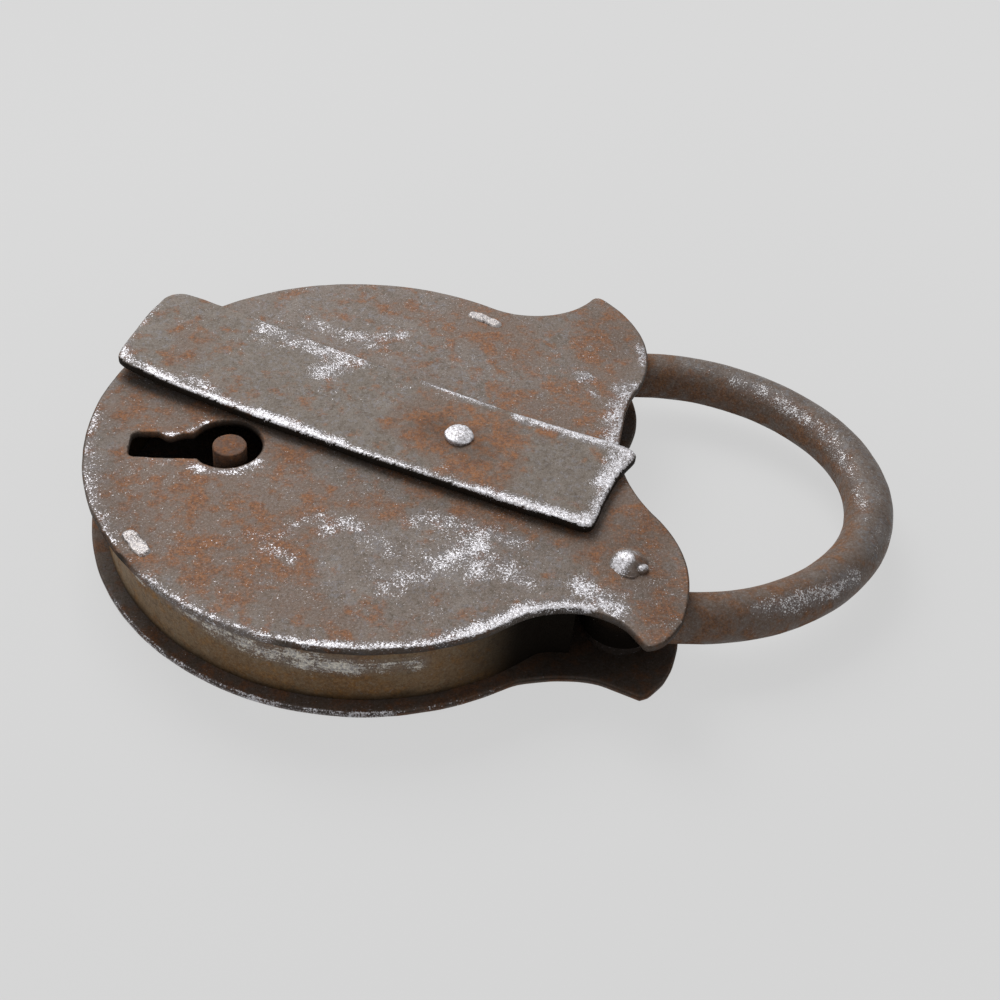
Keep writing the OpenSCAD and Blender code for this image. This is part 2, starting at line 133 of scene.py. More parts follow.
def wobble(point: Vector, size: float, seed: float = 0.0) -> float:
    """Smooth noise from -1 to 1 whose bumps are about size millimetres wide."""
    return noise.noise(point / size + Vector((seed, 2.7 * seed, 1.3 * seed)))


def paint(bm: BMesh, name: str, value: Callable[[BMVert], float]) -> None:
    """Writes a named value on every vertex, for a material to read.

    Args:
        bm: The mesh, in millimetres.
        name: Name of the attribute.
        value: Gives the value for a vertex.
    """
    layer = bm.verts.layers.float.get(name) or bm.verts.layers.float.new(name)
    for vert in bm.verts:
        vert[layer] = value(vert)


# ------------------------------------------------------------- mesh building


def turn_z(degrees: float) -> Matrix:
    """Turn about the upright axis."""
    return Matrix.Rotation(math.radians(degrees), 4, "Z")


def made_since(bm: BMesh, before: set[BMVert]) -> list[BMVert]:
    """Vertices that a mesh has gained since a set of them was noted."""
    return [v for v in bm.verts if v not in before]


def smooth_flat(bm: BMesh, verts: list[BMVert], factor: float) -> None:
    """Smooths vertices from above, keeping their heights."""
    bmesh.ops.smooth_vert(bm, verts=verts, factor=factor, use_axis_x=True, use_axis_y=True)


def soften(bm: BMesh, geom: list, offset: float, segments: int, affect: str) -> None:
    """Rounds corners or edges.

    Args:
        bm: The mesh.
        geom: What is rounded.
        offset: Size of the rounding, in millimetres.
        segments: Number of its faces.
        affect: VERTICES or EDGES.
    """
    bmesh.ops.bevel(
        bm, geom=geom, offset=offset, offset_type="OFFSET", segments=segments,
        profile=0.5, affect=affect, material=-1,
    )


def place_mesh(bm: BMesh, name: str) -> bpy.types.Object:
    """Puts a mesh in the scene as an object.

    Args:
        bm: The mesh, which stays as it is.
        name: Name of the object and its mesh.

    Returns:
        The object.
    """
    mesh = bpy.data.meshes.new(name)
    bm.to_mesh(mesh)
    thing = bpy.data.objects.new(name, mesh)
    bpy.context.scene.collection.objects.link(thing)
    return thing


class Outline:
    """A closed or open line of vertices, grown by straight runs and spun arcs."""

    def __init__(self, bm: BMesh, start: Spot) -> None:
        """Starts the line.

        Args:
            bm: Mesh that holds it.
            start: First point, in millimetres.
        """
        self.bm = bm
        self.first = bm.verts.new((start[0], start[1], 0.0))
        self.last = self.first

    def run(self, end: Spot, step: float = 1.2) -> "Outline":
        """Adds a straight run.

        Args:
            end: Where the run ends.
            step: Longest edge.

        Returns:
            The outline itself.
        """
        start = self.last.co.copy()
        goal = Vector((end[0], end[1], 0.0))
        count = max(1, math.ceil((goal - start).length / step))
        for _ in range(count):
            made = bmesh.ops.extrude_vert_indiv(self.bm, verts=[self.last])
            self.last = made["verts"][0]
            bmesh.ops.translate(self.bm, verts=[self.last], vec=(goal - start) / count)
        return self

    def arc(self, centre: Spot, turn: float, step: float = 1.2) -> "Outline":
        """Adds an arc, anticlockwise for a positive turn.

        Args:
            centre: Centre of the arc.
            turn: Angle in degrees.
            step: Longest edge.

        Returns:
            The outline itself.
        """
        middle = Vector((centre[0], centre[1], 0.0))
        length = (self.last.co - middle).length * abs(math.radians(turn))
        made = bmesh.ops.spin(
            self.bm, geom=[self.last], cent=middle, axis=UP,
            angle=math.radians(turn), steps=max(1, math.ceil(length / step)),
        )
        self.last = next(g for g in made["geom_last"] if isinstance(g, BMVert))
        return self

    def close(self, step: float = 1.2) -> None:
        """Joins the end to the start.

        Args:
            step: Longest edge.
        """
        if (self.first.co - self.last.co).length > SAME:
            self.run(tuple(self.first.co)[:2], step)
        bmesh.ops.pointmerge(self.bm, verts=[self.first, self.last], merge_co=self.first.co)


@dataclass
class SheetCut:
    """Turns closed outlines into a sheet with softened rims.

    Attributes:
        top: Height of the upper face.
        thick: Thickness.
        rims: Widths of the two steps that soften each rim.
        drops: How far the rim and its second step lie below the face.
        cell: Size of the surface grid that carries wear and waviness.
    """

    top: float
    thick: float
    rims: tuple[float, float] = (0.16, 0.3)
    drops: tuple[float, float] = (0.32, 0.1)
    cell: float = 1.1

    def build(self, bm: BMesh) -> None:
        """Fills, softens, grids and thickens what the mesh holds.

        Args:
            bm: Mesh with closed outlines at height zero.
        """
        bmesh.ops.triangle_fill(
            bm, use_beauty=True, use_dissolve=False, edges=bm.edges[:], normal=UP
        )
        bmesh.ops.dissolve_limit(
            bm, angle_limit=0.02, use_dissolve_boundaries=False, verts=[],
            edges=[e for e in bm.edges if not e.is_boundary], delimit={"NORMAL"},
        )
        for name in ("drop", "edge", "side"):
            bm.verts.layers.float.new(name)
        drop, edge = bm.verts.layers.float["drop"], bm.verts.layers.float["edge"]
        inner = bm.faces[:]
        for wide, low, worn in zip(self.rims, self.drops, (0.3, 1.0)):
            rim = {v for e in bm.edges if self._outer(e, inner) for v in e.verts}
            for vert in rim:
                vert[drop], vert[edge] = low, worn
            bmesh.ops.inset_region(
                bm, faces=inner, thickness=wide, depth=0.0,
                use_boundary=True, use_even_offset=True,
            )
            kept = set(inner)
            for vert in {v for f in inner for v in f.verts}:
                vert[drop], vert[edge] = 0.0, 0.6
            inner = [f for f in bm.faces if f in kept]
        self._grid(bm)
        made = bmesh.ops.extrude_face_region(bm, geom=bm.faces[:])
        low_side = {g for g in made["geom"] if isinstance(g, BMVert)}
        drop, side = bm.verts.layers.float["drop"], bm.verts.layers.float["side"]
        for vert in bm.verts:
            lower = vert in low_side
            vert.co.z = self.top - (self.thick - vert[drop] if lower else vert[drop])
            vert[side] = 1.0 if lower else 0.7 if vert[drop] > self.drops[1] else 0.0
        bmesh.ops.recalc_face_normals(bm, faces=bm.faces)

    @staticmethod
    def _outer(edge: BMEdge, faces: list) -> bool:
        """Whether the edge has one side only among the faces."""
        return sum(f in faces for f in edge.link_faces) == 1

    def _grid(self, bm: BMesh) -> None:
        """Cuts the sheet along a square grid.

        Args:
            bm: The sheet, still flat.
        """
        for axis in (0, 1):
            low = min(v.co[axis] for v in bm.verts)
            high = max(v.co[axis] for v in bm.verts)
            normal = Vector((axis == 0, axis == 1, 0))
            for k in range(1, int((high - low) / self.cell)):
                place = normal * (low + (k + 0.13) * self.cell)
                bmesh.ops.bisect_plane(
                    bm, geom=bm.verts[:] + bm.edges[:] + bm.faces[:],
                    dist=0.002, plane_co=place, plane_no=normal,
                )


class Sweep:
    """A closed ring drawn along arcs and straight runs."""

    def __init__(self, bm: BMesh, ring: list[BMEdge]) -> None:
        """Starts at a ring.

        Args:
            bm: Mesh that holds it.
            ring: Edges of the ring, which become the first end.
        """
        self.bm = bm
        self.ring = ring
        self._cap()

    def arc(self, centre: Spot, turn: float, step: float) -> "Sweep":
        """Draws the ring round an upright axis.

        Args:
            centre: Place of the axis.
            turn: Angle in degrees, anticlockwise.
            step: Angle of one step in degrees.

        Returns:
            The sweep itself.
        """
        made = bmesh.ops.spin(
            self.bm, geom=self._verts() + self.ring, cent=(centre[0], centre[1], 0.0),
            axis=UP, angle=math.radians(turn), steps=max(1, round(abs(turn) / step)),
        )
        self.ring = [g for g in made["geom_last"] if isinstance(g, BMEdge)]
        return self

    def straight(self, move: Spot, count: int = 1, grow: float = 1.0) -> "Sweep":
        """Draws the ring along a line.

        Args:
            move: The whole move.
            count: Number of steps.
            grow: Change of the ring's size in each step.

        Returns:
            The sweep itself.
        """
        for _ in range(count):
            made = bmesh.ops.extrude_edge_only(self.bm, edges=self.ring)["geom"]
            fresh = [g for g in made if isinstance(g, BMVert)]
            known = set(fresh)
            self.ring = [
                g for g in made if isinstance(g, BMEdge) and set(g.verts) <= known
            ]
            bmesh.ops.translate(self.bm, verts=fresh, vec=Vector(move) / count)
            if grow != 1.0:
                middle = sum((v.co for v in fresh), Vector()) / len(fresh)
                bmesh.ops.scale(
                    self.bm, vec=(grow,) * 3, verts=fresh,
                    space=Matrix.Translation(-middle),
                )
        return self

    def finish(self) -> None:
        """Closes the last end and turns the faces outwards."""
        self._cap()
        bmesh.ops.recalc_face_normals(self.bm, faces=self.bm.faces)

    def _verts(self) -> list[BMVert]:
        """Vertices of the present ring."""
        return list({v for e in self.ring for v in e.verts})

    def _cap(self) -> None:
        """Fills the present ring."""
        bmesh.ops.contextual_create(self.bm, geom=self.ring)


def strip_ring(bm: BMesh, thick: float, tall: float, place: Matrix) -> list[BMEdge]:
    """Ring round the section of a flat bar with softened corners.

    Args:
        bm: Mesh that gets it.
        thick: Thickness, across the bar.
        tall: Height, upwards.
        place: Puts the section's middle and its thin side in place.

    Returns:
        The ring's edges.
    """
    grid = bmesh.ops.create_grid(bm, x_segments=1, y_segments=10, size=0.5)
    bmesh.ops.scale(bm, vec=(thick, tall, 1.0), verts=grid["verts"])
    corners = [v for v in grid["verts"] if len(v.link_edges) == 2]
    soften(bm, corners, 0.25, 2, "VERTICES")
    bmesh.ops.dissolve_edges(bm, edges=[e for e in bm.edges if not e.is_boundary])
    bmesh.ops.delete(bm, geom=bm.faces[:], context="FACES_ONLY")
    upright = Matrix.Rotation(math.pi / 2, 4, "X")
    bmesh.ops.transform(bm, matrix=place @ upright, verts=bm.verts[:])
    return bm.edges[:]


def disc(bm: BMesh, radius: float, low: float, high: float, middle: Spot,
         rim: float = 0.3, sides: int = 48) -> list[BMVert]:
    """A round pin or head with softened rims.

    Args:
        bm: Mesh that gets it.
        radius: Its radius.
        low: Height of its lower face.
        high: Height of its upper face.
        middle: Its centre from above.
        rim: Size of the softened rims.
        sides: Number of sides.

    Returns:
        Its vertices.
    """
    before = set(bm.verts)
    bmesh.ops.create_cone(
        bm, cap_ends=True, segments=sides, radius1=radius, radius2=radius,
        depth=high - low,
        matrix=Matrix.Translation((middle[0], middle[1], (low + high) / 2)),
    )
    known = set(made_since(bm, before))
    rims = [
        e for e in bm.edges
        if set(e.verts) <= known and abs(e.verts[0].co.z - e.verts[1].co.z) < SAME
    ]
    soften(bm, rims, rim, 3, "EDGES")
    return made_since(bm, before)


def carve(bm: BMesh, tool: BMesh, how: Carve) -> None:
    """Cuts a solid out of a mesh, or joins it on.

    Args:
        bm: Mesh that is changed.
        tool: The second solid, freed afterwards.
        how: Cut or join.
    """
    pair = [place_mesh(bm, "carved"), place_mesh(tool, "carver")]
    modifier = pair[0].modifiers.new("carve", "BOOLEAN")
    modifier.operation, modifier.solver, modifier.object = how.value, "EXACT", pair[1]
    shaped = pair[0].evaluated_get(bpy.context.evaluated_depsgraph_get()).to_mesh()
    bm.clear()
    bm.from_mesh(shaped)
    pair[0].to_mesh_clear()
    tool.free()
    for thing in pair:
        mesh = thing.data
        bpy.data.objects.remove(thing)
        bpy.data.meshes.remove(mesh)


def flatten(verts: Iterable[BMVert], point: Spot, normal: Spot, keep: float = 0.1) -> None:
    """Beats a flat on a head: what stands above the plane is pressed towards it.

    Args:
        verts: Vertices of the head.
        point: A point of the flat.
        normal: Direction that the flat faces.
        keep: Share of the height above the plane that stays.
    """
    way = Vector(normal).normalized()
    for vert in verts:
        above = (vert.co - Vector(point)).dot(way)
        if above > 0.0:
            vert.co -= way * above * (1.0 - keep)


def follow(bm: BMesh, verts: list[BMVert], line: tuple[Spot, ...], fade: float = 4.0) -> None:
    """Lays part of an outline on a hand-cut line, joining it softly at both ends.

    Args:
        bm: The outline's mesh.
        verts: Its vertices that move.
        line: Corners of the line.
        fade: Length over which the ends join.
    """
    spots = [Vector((*spot, 0.0)) for spot in line]
    for vert in verts:
        feet = []
        for first, second in zip(spots, spots[1:]):
            foot, share = intersect_point_line(vert.co, first, second)
            feet.append(first.lerp(second, min(1.0, max(0.0, share))))
        foot = min(feet, key=lambda spot: (spot - vert.co).length)
        ends = min((foot - spots[0]).length, (foot - spots[-1]).length)
        if (foot - vert.co).length < fade:
            vert.co = vert.co.lerp(foot, ease(ends / fade))
    smooth_flat(bm, verts, 0.4)


def even_out(bm: BMesh, step: float = 0.5) -> None:
    """Merges crowded vertices of an outline."""
    bmesh.ops.remove_doubles(bm, verts=bm.verts[:], dist=step)


# ------------------------------------------------------------------ finishes


class Graph:
    """A material's nodes, written as plain calls.

    Attributes:
        SOCKETS: For each kind of mix node, its first end's socket and its result's.
    """

    SOCKETS: ClassVar[dict[str, tuple[int, int]]] = {"RGBA": (6, 2), "FLOAT": (2, 0)}

    def __init__(self, name: str) -> None:
        """Makes the material with its shader.

        Args:
            name: Name of the material.
        """
        self.material = bpy.data.materials.new(name)
        self.material.use_nodes = True
        self.tree = self.material.node_tree
        self.shader = self.tree.nodes["Principled BSDF"]
        self.place = self.node("ShaderNodeTexCoord").outputs["Object"]

    def node(self, kind: str, **settings: object) -> bpy.types.Node:
        """Adds a node.

        Args:
            kind: Its type.
            settings: Its options.

        Returns:
            The node.
        """
        made = self.tree.nodes.new(kind)
        for key, value in settings.items():
            setattr(made, key, value)
        return made

    def feed(self, socket: bpy.types.NodeSocket, value: object) -> None:
        """Links an output to a socket, or sets a plain value on it.

        Args:
            socket: The socket.
            value: An output, a number or a colour.
        """
        if isinstance(value, bpy.types.NodeSocket):
            self.tree.links.new(value, socket)
        elif isinstance(value, tuple) and len(value) == 3 and socket.type == "RGBA":
            socket.default_value = (*value, 1.0)
        else:
            socket.default_value = value

    def read(self, name: str) -> bpy.types.NodeSocket:
        """The value painted on the vertices under a name."""
        return self.node("ShaderNodeAttribute", attribute_name=name).outputs["Fac"]

    def stretch(self, scale: Spot) -> bpy.types.NodeSocket:
        """Place on the piece, scaled, for drawn-out patterns.

        Args:
            scale: Factor along each axis.

        Returns:
            The scaled place.
        """
        made = self.node("ShaderNodeMapping")
        made.inputs["Scale"].default_value = scale
        self.feed(made.inputs["Vector"], self.place)
        return made.outputs["Vector"]

    def cloud(self, size: float, detail: float = 3.0, rough: float = 0.55,
              where: bpy.types.NodeSocket | None = None) -> bpy.types.NodeSocket:
        """Soft noise.

        Args:
            size: Width of its clouds in millimetres.
            detail: Number of finer layers.
            rough: Strength of the finer layers.
            where: Place to read it at, if not the plain one.

        Returns:
            Its value, from 0 to 1 about a half.
        """
        made = self.node("ShaderNodeTexNoise")
        self.feed(made.inputs["Vector"], where or self.place)
        self.feed(made.inputs["Scale"], 1000.0 / size)
        self.feed(made.inputs["Detail"], detail)
        self.feed(made.inputs["Roughness"], rough)
        return made.outputs["Fac"]

    def math(self, how: str, *values: object) -> bpy.types.NodeSocket:
        """One arithmetic step.

        Args:
            how: Name of the step.
            values: What it works on.

        Returns:
            Its result.
        """
        made = self.node("ShaderNodeMath", operation=how)
        for socket, value in zip(made.inputs, values):
            self.feed(socket, value)
        return made.outputs[0]

    def times(self, first: object, second: object) -> bpy.types.NodeSocket:
        """Product of two numbers."""
        return self.math("MULTIPLY", first, second)

    def line(self, value: object, slope: object, start: object) -> bpy.types.NodeSocket:
        """Value times slope, plus start."""
        return self.math("MULTIPLY_ADD", value, slope, start)

    def ramp(self, value: object, low: object, high: object) -> bpy.types.NodeSocket:
        """Smooth step of a value.

        Args:
            value: The value.
            low: Where the step is 0.
            high: Where it is 1.

        Returns:
            The step, from 0 to 1.
        """
        made = self.node("ShaderNodeMapRange", interpolation_type="SMOOTHSTEP")
        for name, fed in (("Value", value), ("From Min", low), ("From Max", high)):
            self.feed(made.inputs[name], fed)
        return made.outputs["Result"]

    def mix(self, share: object, first: object, second: object) -> bpy.types.NodeSocket:
        """Blend of two colours."""
        return self._between("RGBA", share, first, second)

    def blend(self, share: object, first: object, second: object) -> bpy.types.NodeSocket:
        """Blend of two numbers."""
        return self._between("FLOAT", share, first, second)

    def _between(self, kind: str, share: object, *ends: object) -> bpy.types.NodeSocket:
        """Blend of two values of one kind.

        Args:
            kind: RGBA or FLOAT.
            share: How much of the second end there is.
            ends: The two ends.

        Returns:
            The blend.
        """
        made = self.node("ShaderNodeMix", data_type=kind)
        start, result = self.SOCKETS[kind]
        self.feed(made.inputs["Factor"], share)
        for socket, end in zip(made.inputs[start:start + 2], ends):
            self.feed(socket, end)
        return made.outputs[result]

    def bump(self, height: object, strength: float, depth: float) -> None:
        """Puts a height on the shader.

        Args:
            height: The height, from 0 to about 1.
            strength: Share of the effect.
            depth: What a height of 1 stands for, in millimetres.
        """
        made = self.node("ShaderNodeBump")
        self.feed(made.inputs["Strength"], strength)
        self.feed(made.inputs["Distance"], depth * MM)
        self.feed(made.inputs["Height"], height)
        self.feed(self.shader.inputs["Normal"], made.outputs["Normal"])


def srgb(red: int, green: int, blue: int) -> Colour:
    """Linear colour of a screen colour.

    Args:
        red: Red, from 0 to 255.
        green: Green, likewise.
        blue: Blue, likewise.

    Returns:
        The colour as shaders take it.
    """
    return tuple(
        c / 12.92 if (c := v / 255.0) <= 0.04045 else ((c + 0.055) / 1.055) ** 2.4
        for v in (red, green, blue)
    )


@dataclass(frozen=True)
class Oxide:
    """Old iron: brown oxide, rust clouds, pits and places rubbed to bare metal, darkened by painted
    shade where the shade value asks for it.

    Attributes:
        name: Name of the material.
        slot: The record's slot for it; not used by this script.
        dark: Darkest oxide.
        mid: Usual oxide.
        pale: Palest oxide.
        cool: Cool grey flecks.
        brown: Brown tint of the stained zones.
        rust: Deep rust.
        ochre: Light rust.
        metal: Bare metal.
        rusty: How far rust spreads by itself.
        worn: How far bare metal shows by itself.
        sheen: Roughness of the oxide.
        grain: Depth of the surface's grain, in millimetres.
        drawn: Whether marks run along the piece, as on the wall.
    """

    name: str
    slot: str
    dark: Colour = srgb(96, 84, 72)
    mid: Colour = srgb(127, 114, 105)
    pale: Colour = srgb(145, 136, 129)
    cool: Colour = srgb(141, 139, 145)
    brown: Colour = srgb(118, 93, 77)
    rust: Colour = srgb(130, 85, 60)
    ochre: Colour = srgb(174, 114, 68)
    metal: Colour = srgb(217, 216, 221)
    rusty: float = 0.0
    worn: float = 0.0
    sheen: float = 0.6
    grain: float = 0.06
    drawn: bool = False

    def make(self) -> bpy.types.Material:
        """Builds the material.

        Returns:
            The material with its nodes.
        """
        g = Graph(self.name)
        wear, stain, shade = g.read("wear"), g.read("rust"), g.read("shade")
        broad, patch = g.cloud(14.0, 2.0), g.cloud(5.0, 6.0, 0.62)
        mottle, grit = g.cloud(1.4, 6.0, 0.66), g.cloud(0.5, 3.0, 0.65)
        flaky, fine = g.cloud(2.6, 5.0, 0.56), g.cloud(0.26, 1.0)
        body = g.mix(g.ramp(mottle, 0.34, 0.54), self.dark, self.mid)
        body = g.mix(g.times(g.ramp(patch, 0.46, 0.7), 0.7), body, self.pale)
        body = g.mix(g.times(g.ramp(patch, 0.44, 0.28), 0.5), body, self.dark)
        cool = g.times(g.ramp(g.cloud(1.1, 5.0, 0.7), 0.5, 0.66), 0.6)
        body = g.mix(cool, body, self.cool)
        # Stained zones turn brown, with flaky rust clouds on top of them.
        zone = g.line(stain, 0.34, g.times(patch, 0.55))
        zone = g.line(broad, 0.45, zone)
        zone = g.ramp(zone, 0.5 - 0.1 * self.rusty, 0.74 - 0.1 * self.rusty)
        body = g.mix(g.times(zone, 0.62), body, self.brown)
        cluster = g.line(g.cloud(7.0, 3.0, 0.5), 0.4, flaky)
        spread = g.line(stain, 0.1, cluster)
        limit = 0.79 - 0.06 * self.rusty
        cover = g.ramp(spread, limit - 0.09, limit + 0.17)
        tone = g.mix(g.ramp(g.cloud(0.9, 5.0, 0.65), 0.36, 0.6), self.rust, self.ochre)
        solid = g.blend(g.ramp(grit, 0.34, 0.6), 0.4, 0.9)
        body = g.mix(g.times(cover, solid), body, tone)
        # Small dark pits and pale flecks.
        pits = g.ramp(g.cloud(0.8, 2.0), 0.29, 0.2)
        body = g.mix(g.times(pits, 0.6), body, self.dark)
        fleck = g.ramp(g.cloud(0.62, 3.0, 0.6), 0.6, 0.72)
        body = g.mix(g.times(fleck, 0.35), body, srgb(158, 154, 158))
        # The oxide round rubbed places is greyer, and painted shade from the shade value darkens it
        # towards near black.
        body = g.mix(g.times(g.ramp(wear, 0.15, 0.9), 0.5), body, srgb(128, 125, 128))
        for value, low, high, share, tint in (
            (fine, 0.45, 0.75, 0.3, self.pale), (fine, 0.5, 0.25, 0.3, self.dark),
            (grit, 0.5, 0.66, 0.4, self.pale), (grit, 0.48, 0.32, 0.55, self.dark),
        ):
            body = g.mix(g.times(g.ramp(value, low, high), share), body, tint)
        body = g.mix(shade, body, srgb(26, 22, 18))
        # Bare metal shows as specks that close up where the rubbing is heavy.
        ragged = g.cloud(3.2, 8.0, 0.74)
        loose = g.times(g.ramp(wear, 0.0, 0.55), 2.6)
        force = g.line(g.math("SUBTRACT", ragged, 0.5), loose, wear)
        speck = fine
        if self.drawn:
            lines = g.cloud(1.0, 3.0, 0.6, g.stretch((0.12, 0.12, 1.8)))
            speck = g.blend(0.5, fine, lines)
        edge = g.line(force, -0.42, 0.83 - 0.2 * self.worn)
        bare = g.ramp(speck, g.math("SUBTRACT", edge, 0.07), g.math("ADD", edge, 0.11))
        shine = g.mix(g.ramp(grit, 0.35, 0.62), srgb(157, 153, 154), self.metal)
        g.feed(g.shader.inputs["Base Color"], g.mix(bare, body, shine))
        g.feed(g.shader.inputs["Metallic"], g.blend(bare, 0.08, 0.5))
        rough = g.blend(cover, self.sheen, 0.85)
        rough = g.line(g.math("SUBTRACT", mottle, 0.5), 0.3, rough)
        g.feed(g.shader.inputs["Roughness"], g.blend(bare, rough, 0.4))
        g.feed(g.shader.inputs["Specular IOR Level"], g.line(shade, -0.24, 0.26))
        height = g.line(grit, 0.9, g.times(mottle, 0.6))
        height = g.line(pits, -0.5, height)
        height = g.line(cover, 0.35, height)
        height = g.line(fine, 0.2, height)
        g.bump(height, 1.0, self.grain * 2.4)
        return g.material


PLATE = Oxide("plate_oxide", "plate_rust", rusty=0.45)
COVER = Oxide(
    "cover_oxide", "cover_iron", mid=srgb(124, 114, 105), pale=srgb(141, 132, 124), rusty=0.2,
)
WALL = Oxide(
    "wall_patina", "wall_patina", dark=srgb(100, 78, 55), mid=srgb(136, 112, 85),
    pale=srgb(150, 132, 106), cool=srgb(130, 118, 96), brown=srgb(116, 84, 50), rust=srgb(118, 80, 46),
    ochre=srgb(162, 116, 62), metal=srgb(226, 220, 208), rusty=0.3, sheen=0.6, drawn=True,
)
BAR = Oxide(
    "shackle_oxide", "shackle_iron", dark=srgb(84, 70, 61), mid=srgb(108, 94, 84),
    pale=srgb(130, 124, 120), cool=srgb(124, 127, 133), brown=srgb(104, 82, 66),
    rust=srgb(112, 74, 50),
    ochre=srgb(142, 98, 62), metal=srgb(224, 223, 224), rusty=0.35, sheen=0.5, grain=0.05,
)
HEAD = Oxide(
    "rivet_worn", "worn_rivet", mid=srgb(128, 120, 116), worn=1.2, sheen=0.45, grain=0.05,
)
TENON = Oxide(
    "tenon_worn", "worn_rivet", metal=srgb(180, 174, 171), worn=0.6, sheen=0.5, grain=0.07,
)
HINGE_HEAD = Oxide("hinge_head_worn", "worn_rivet", mid=srgb(122, 112, 106), rusty=0.2, sheen=0.5)
PIN = Oxide(
    "pin_oxide", "pin_iron", dark=srgb(84, 62, 52), mid=srgb(104, 78, 66),
    pale=srgb(118, 92, 80), cool=srgb(110, 88, 78), rusty=0.2, sheen=0.65,
)
STUMP = replace(PLATE, name="stump_oxide", slot="pin_iron")
INNER = Oxide(
    "inner_oxide", "inner_iron", dark=srgb(40, 33, 28), mid=srgb(72, 60, 51),
    pale=srgb(92, 80, 70), cool=srgb(78, 72, 68), brown=srgb(62, 46, 34), rust=srgb(78, 52, 36),
    ochre=srgb(104, 72, 46), rusty=0.3, sheen=0.55,
)
# Painted shade: a still darker copy of the inner oxide for the hinge spacers, so they sink into the
# shade of the gap between the plates.
GAP_SHADE = Oxide(
    "gap_shade_oxide", "inner_iron", dark=srgb(24, 19, 16), mid=srgb(40, 32, 27),
    pale=srgb(52, 43, 37), cool=srgb(44, 38, 35), brown=srgb(38, 28, 21),
    rust=srgb(48, 32, 23), ochre=srgb(62, 43, 29), rusty=0.3, sheen=0.7,
)
LEAF = Oxide(
    "spring_dark", "spring_steel", dark=srgb(44, 40, 38), mid=srgb(76, 70, 66),
    pale=srgb(104, 98, 95), cool=srgb(96, 94, 96), brown=srgb(66, 52, 42), sheen=0.4,
)


class Paintbox:
    """Makes each finish once and keeps it."""

    def __init__(self) -> None:
        """Starts empty."""
        self.made: dict[str, bpy.types.Material] = {}

    def get(self, finish: Oxide) -> bpy.types.Material:
        """The material of a finish, made when it is first wanted.

        Args:
            finish: The finish.

        Returns:
            Its material.
        """
        if finish.name not in self.made:
            self.made[finish.name] = finish.make()
        return self.made[finish.name]


PAINTS = Paintbox()


def install(name: str, bm: BMesh, finish: Oxide, body: Body,
            *nodes: str, crease: float = 38.0) -> bpy.types.Object:
    """Makes the finished piece from its mesh and puts it on its body.

    Args:
        name: Name of the piece.
        bm: Its mesh in millimetres, freed afterwards.
        finish: Its finish.
        body: The body that it moves with.
        nodes: CAD nodes that it stands for.
        crease: Angle in degrees past which an edge is drawn sharp.

    Returns:
        The piece.
    """
    for layer in ("wear", "rust", "shade"):
        if bm.verts.layers.float.get(layer) is None:
            paint(bm, layer, lambda vert: 0.0)
    bmesh.ops.scale(bm, vec=(MM,) * 3, verts=bm.verts[:])
    piece = place_mesh(bm, name)
    bm.free()
    mesh = piece.data
    mesh.shade_smooth()
    mesh.set_sharp_from_angle(angle=math.radians(crease))
    mesh.materials.append(PAINTS.get(finish))
    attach(piece, body.value)
    if nodes:
        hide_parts(*nodes)
    LOG.info("%s: %d faces", name, len(mesh.polygons))
    return piece


# -------------------------------------------------------------------- pieces


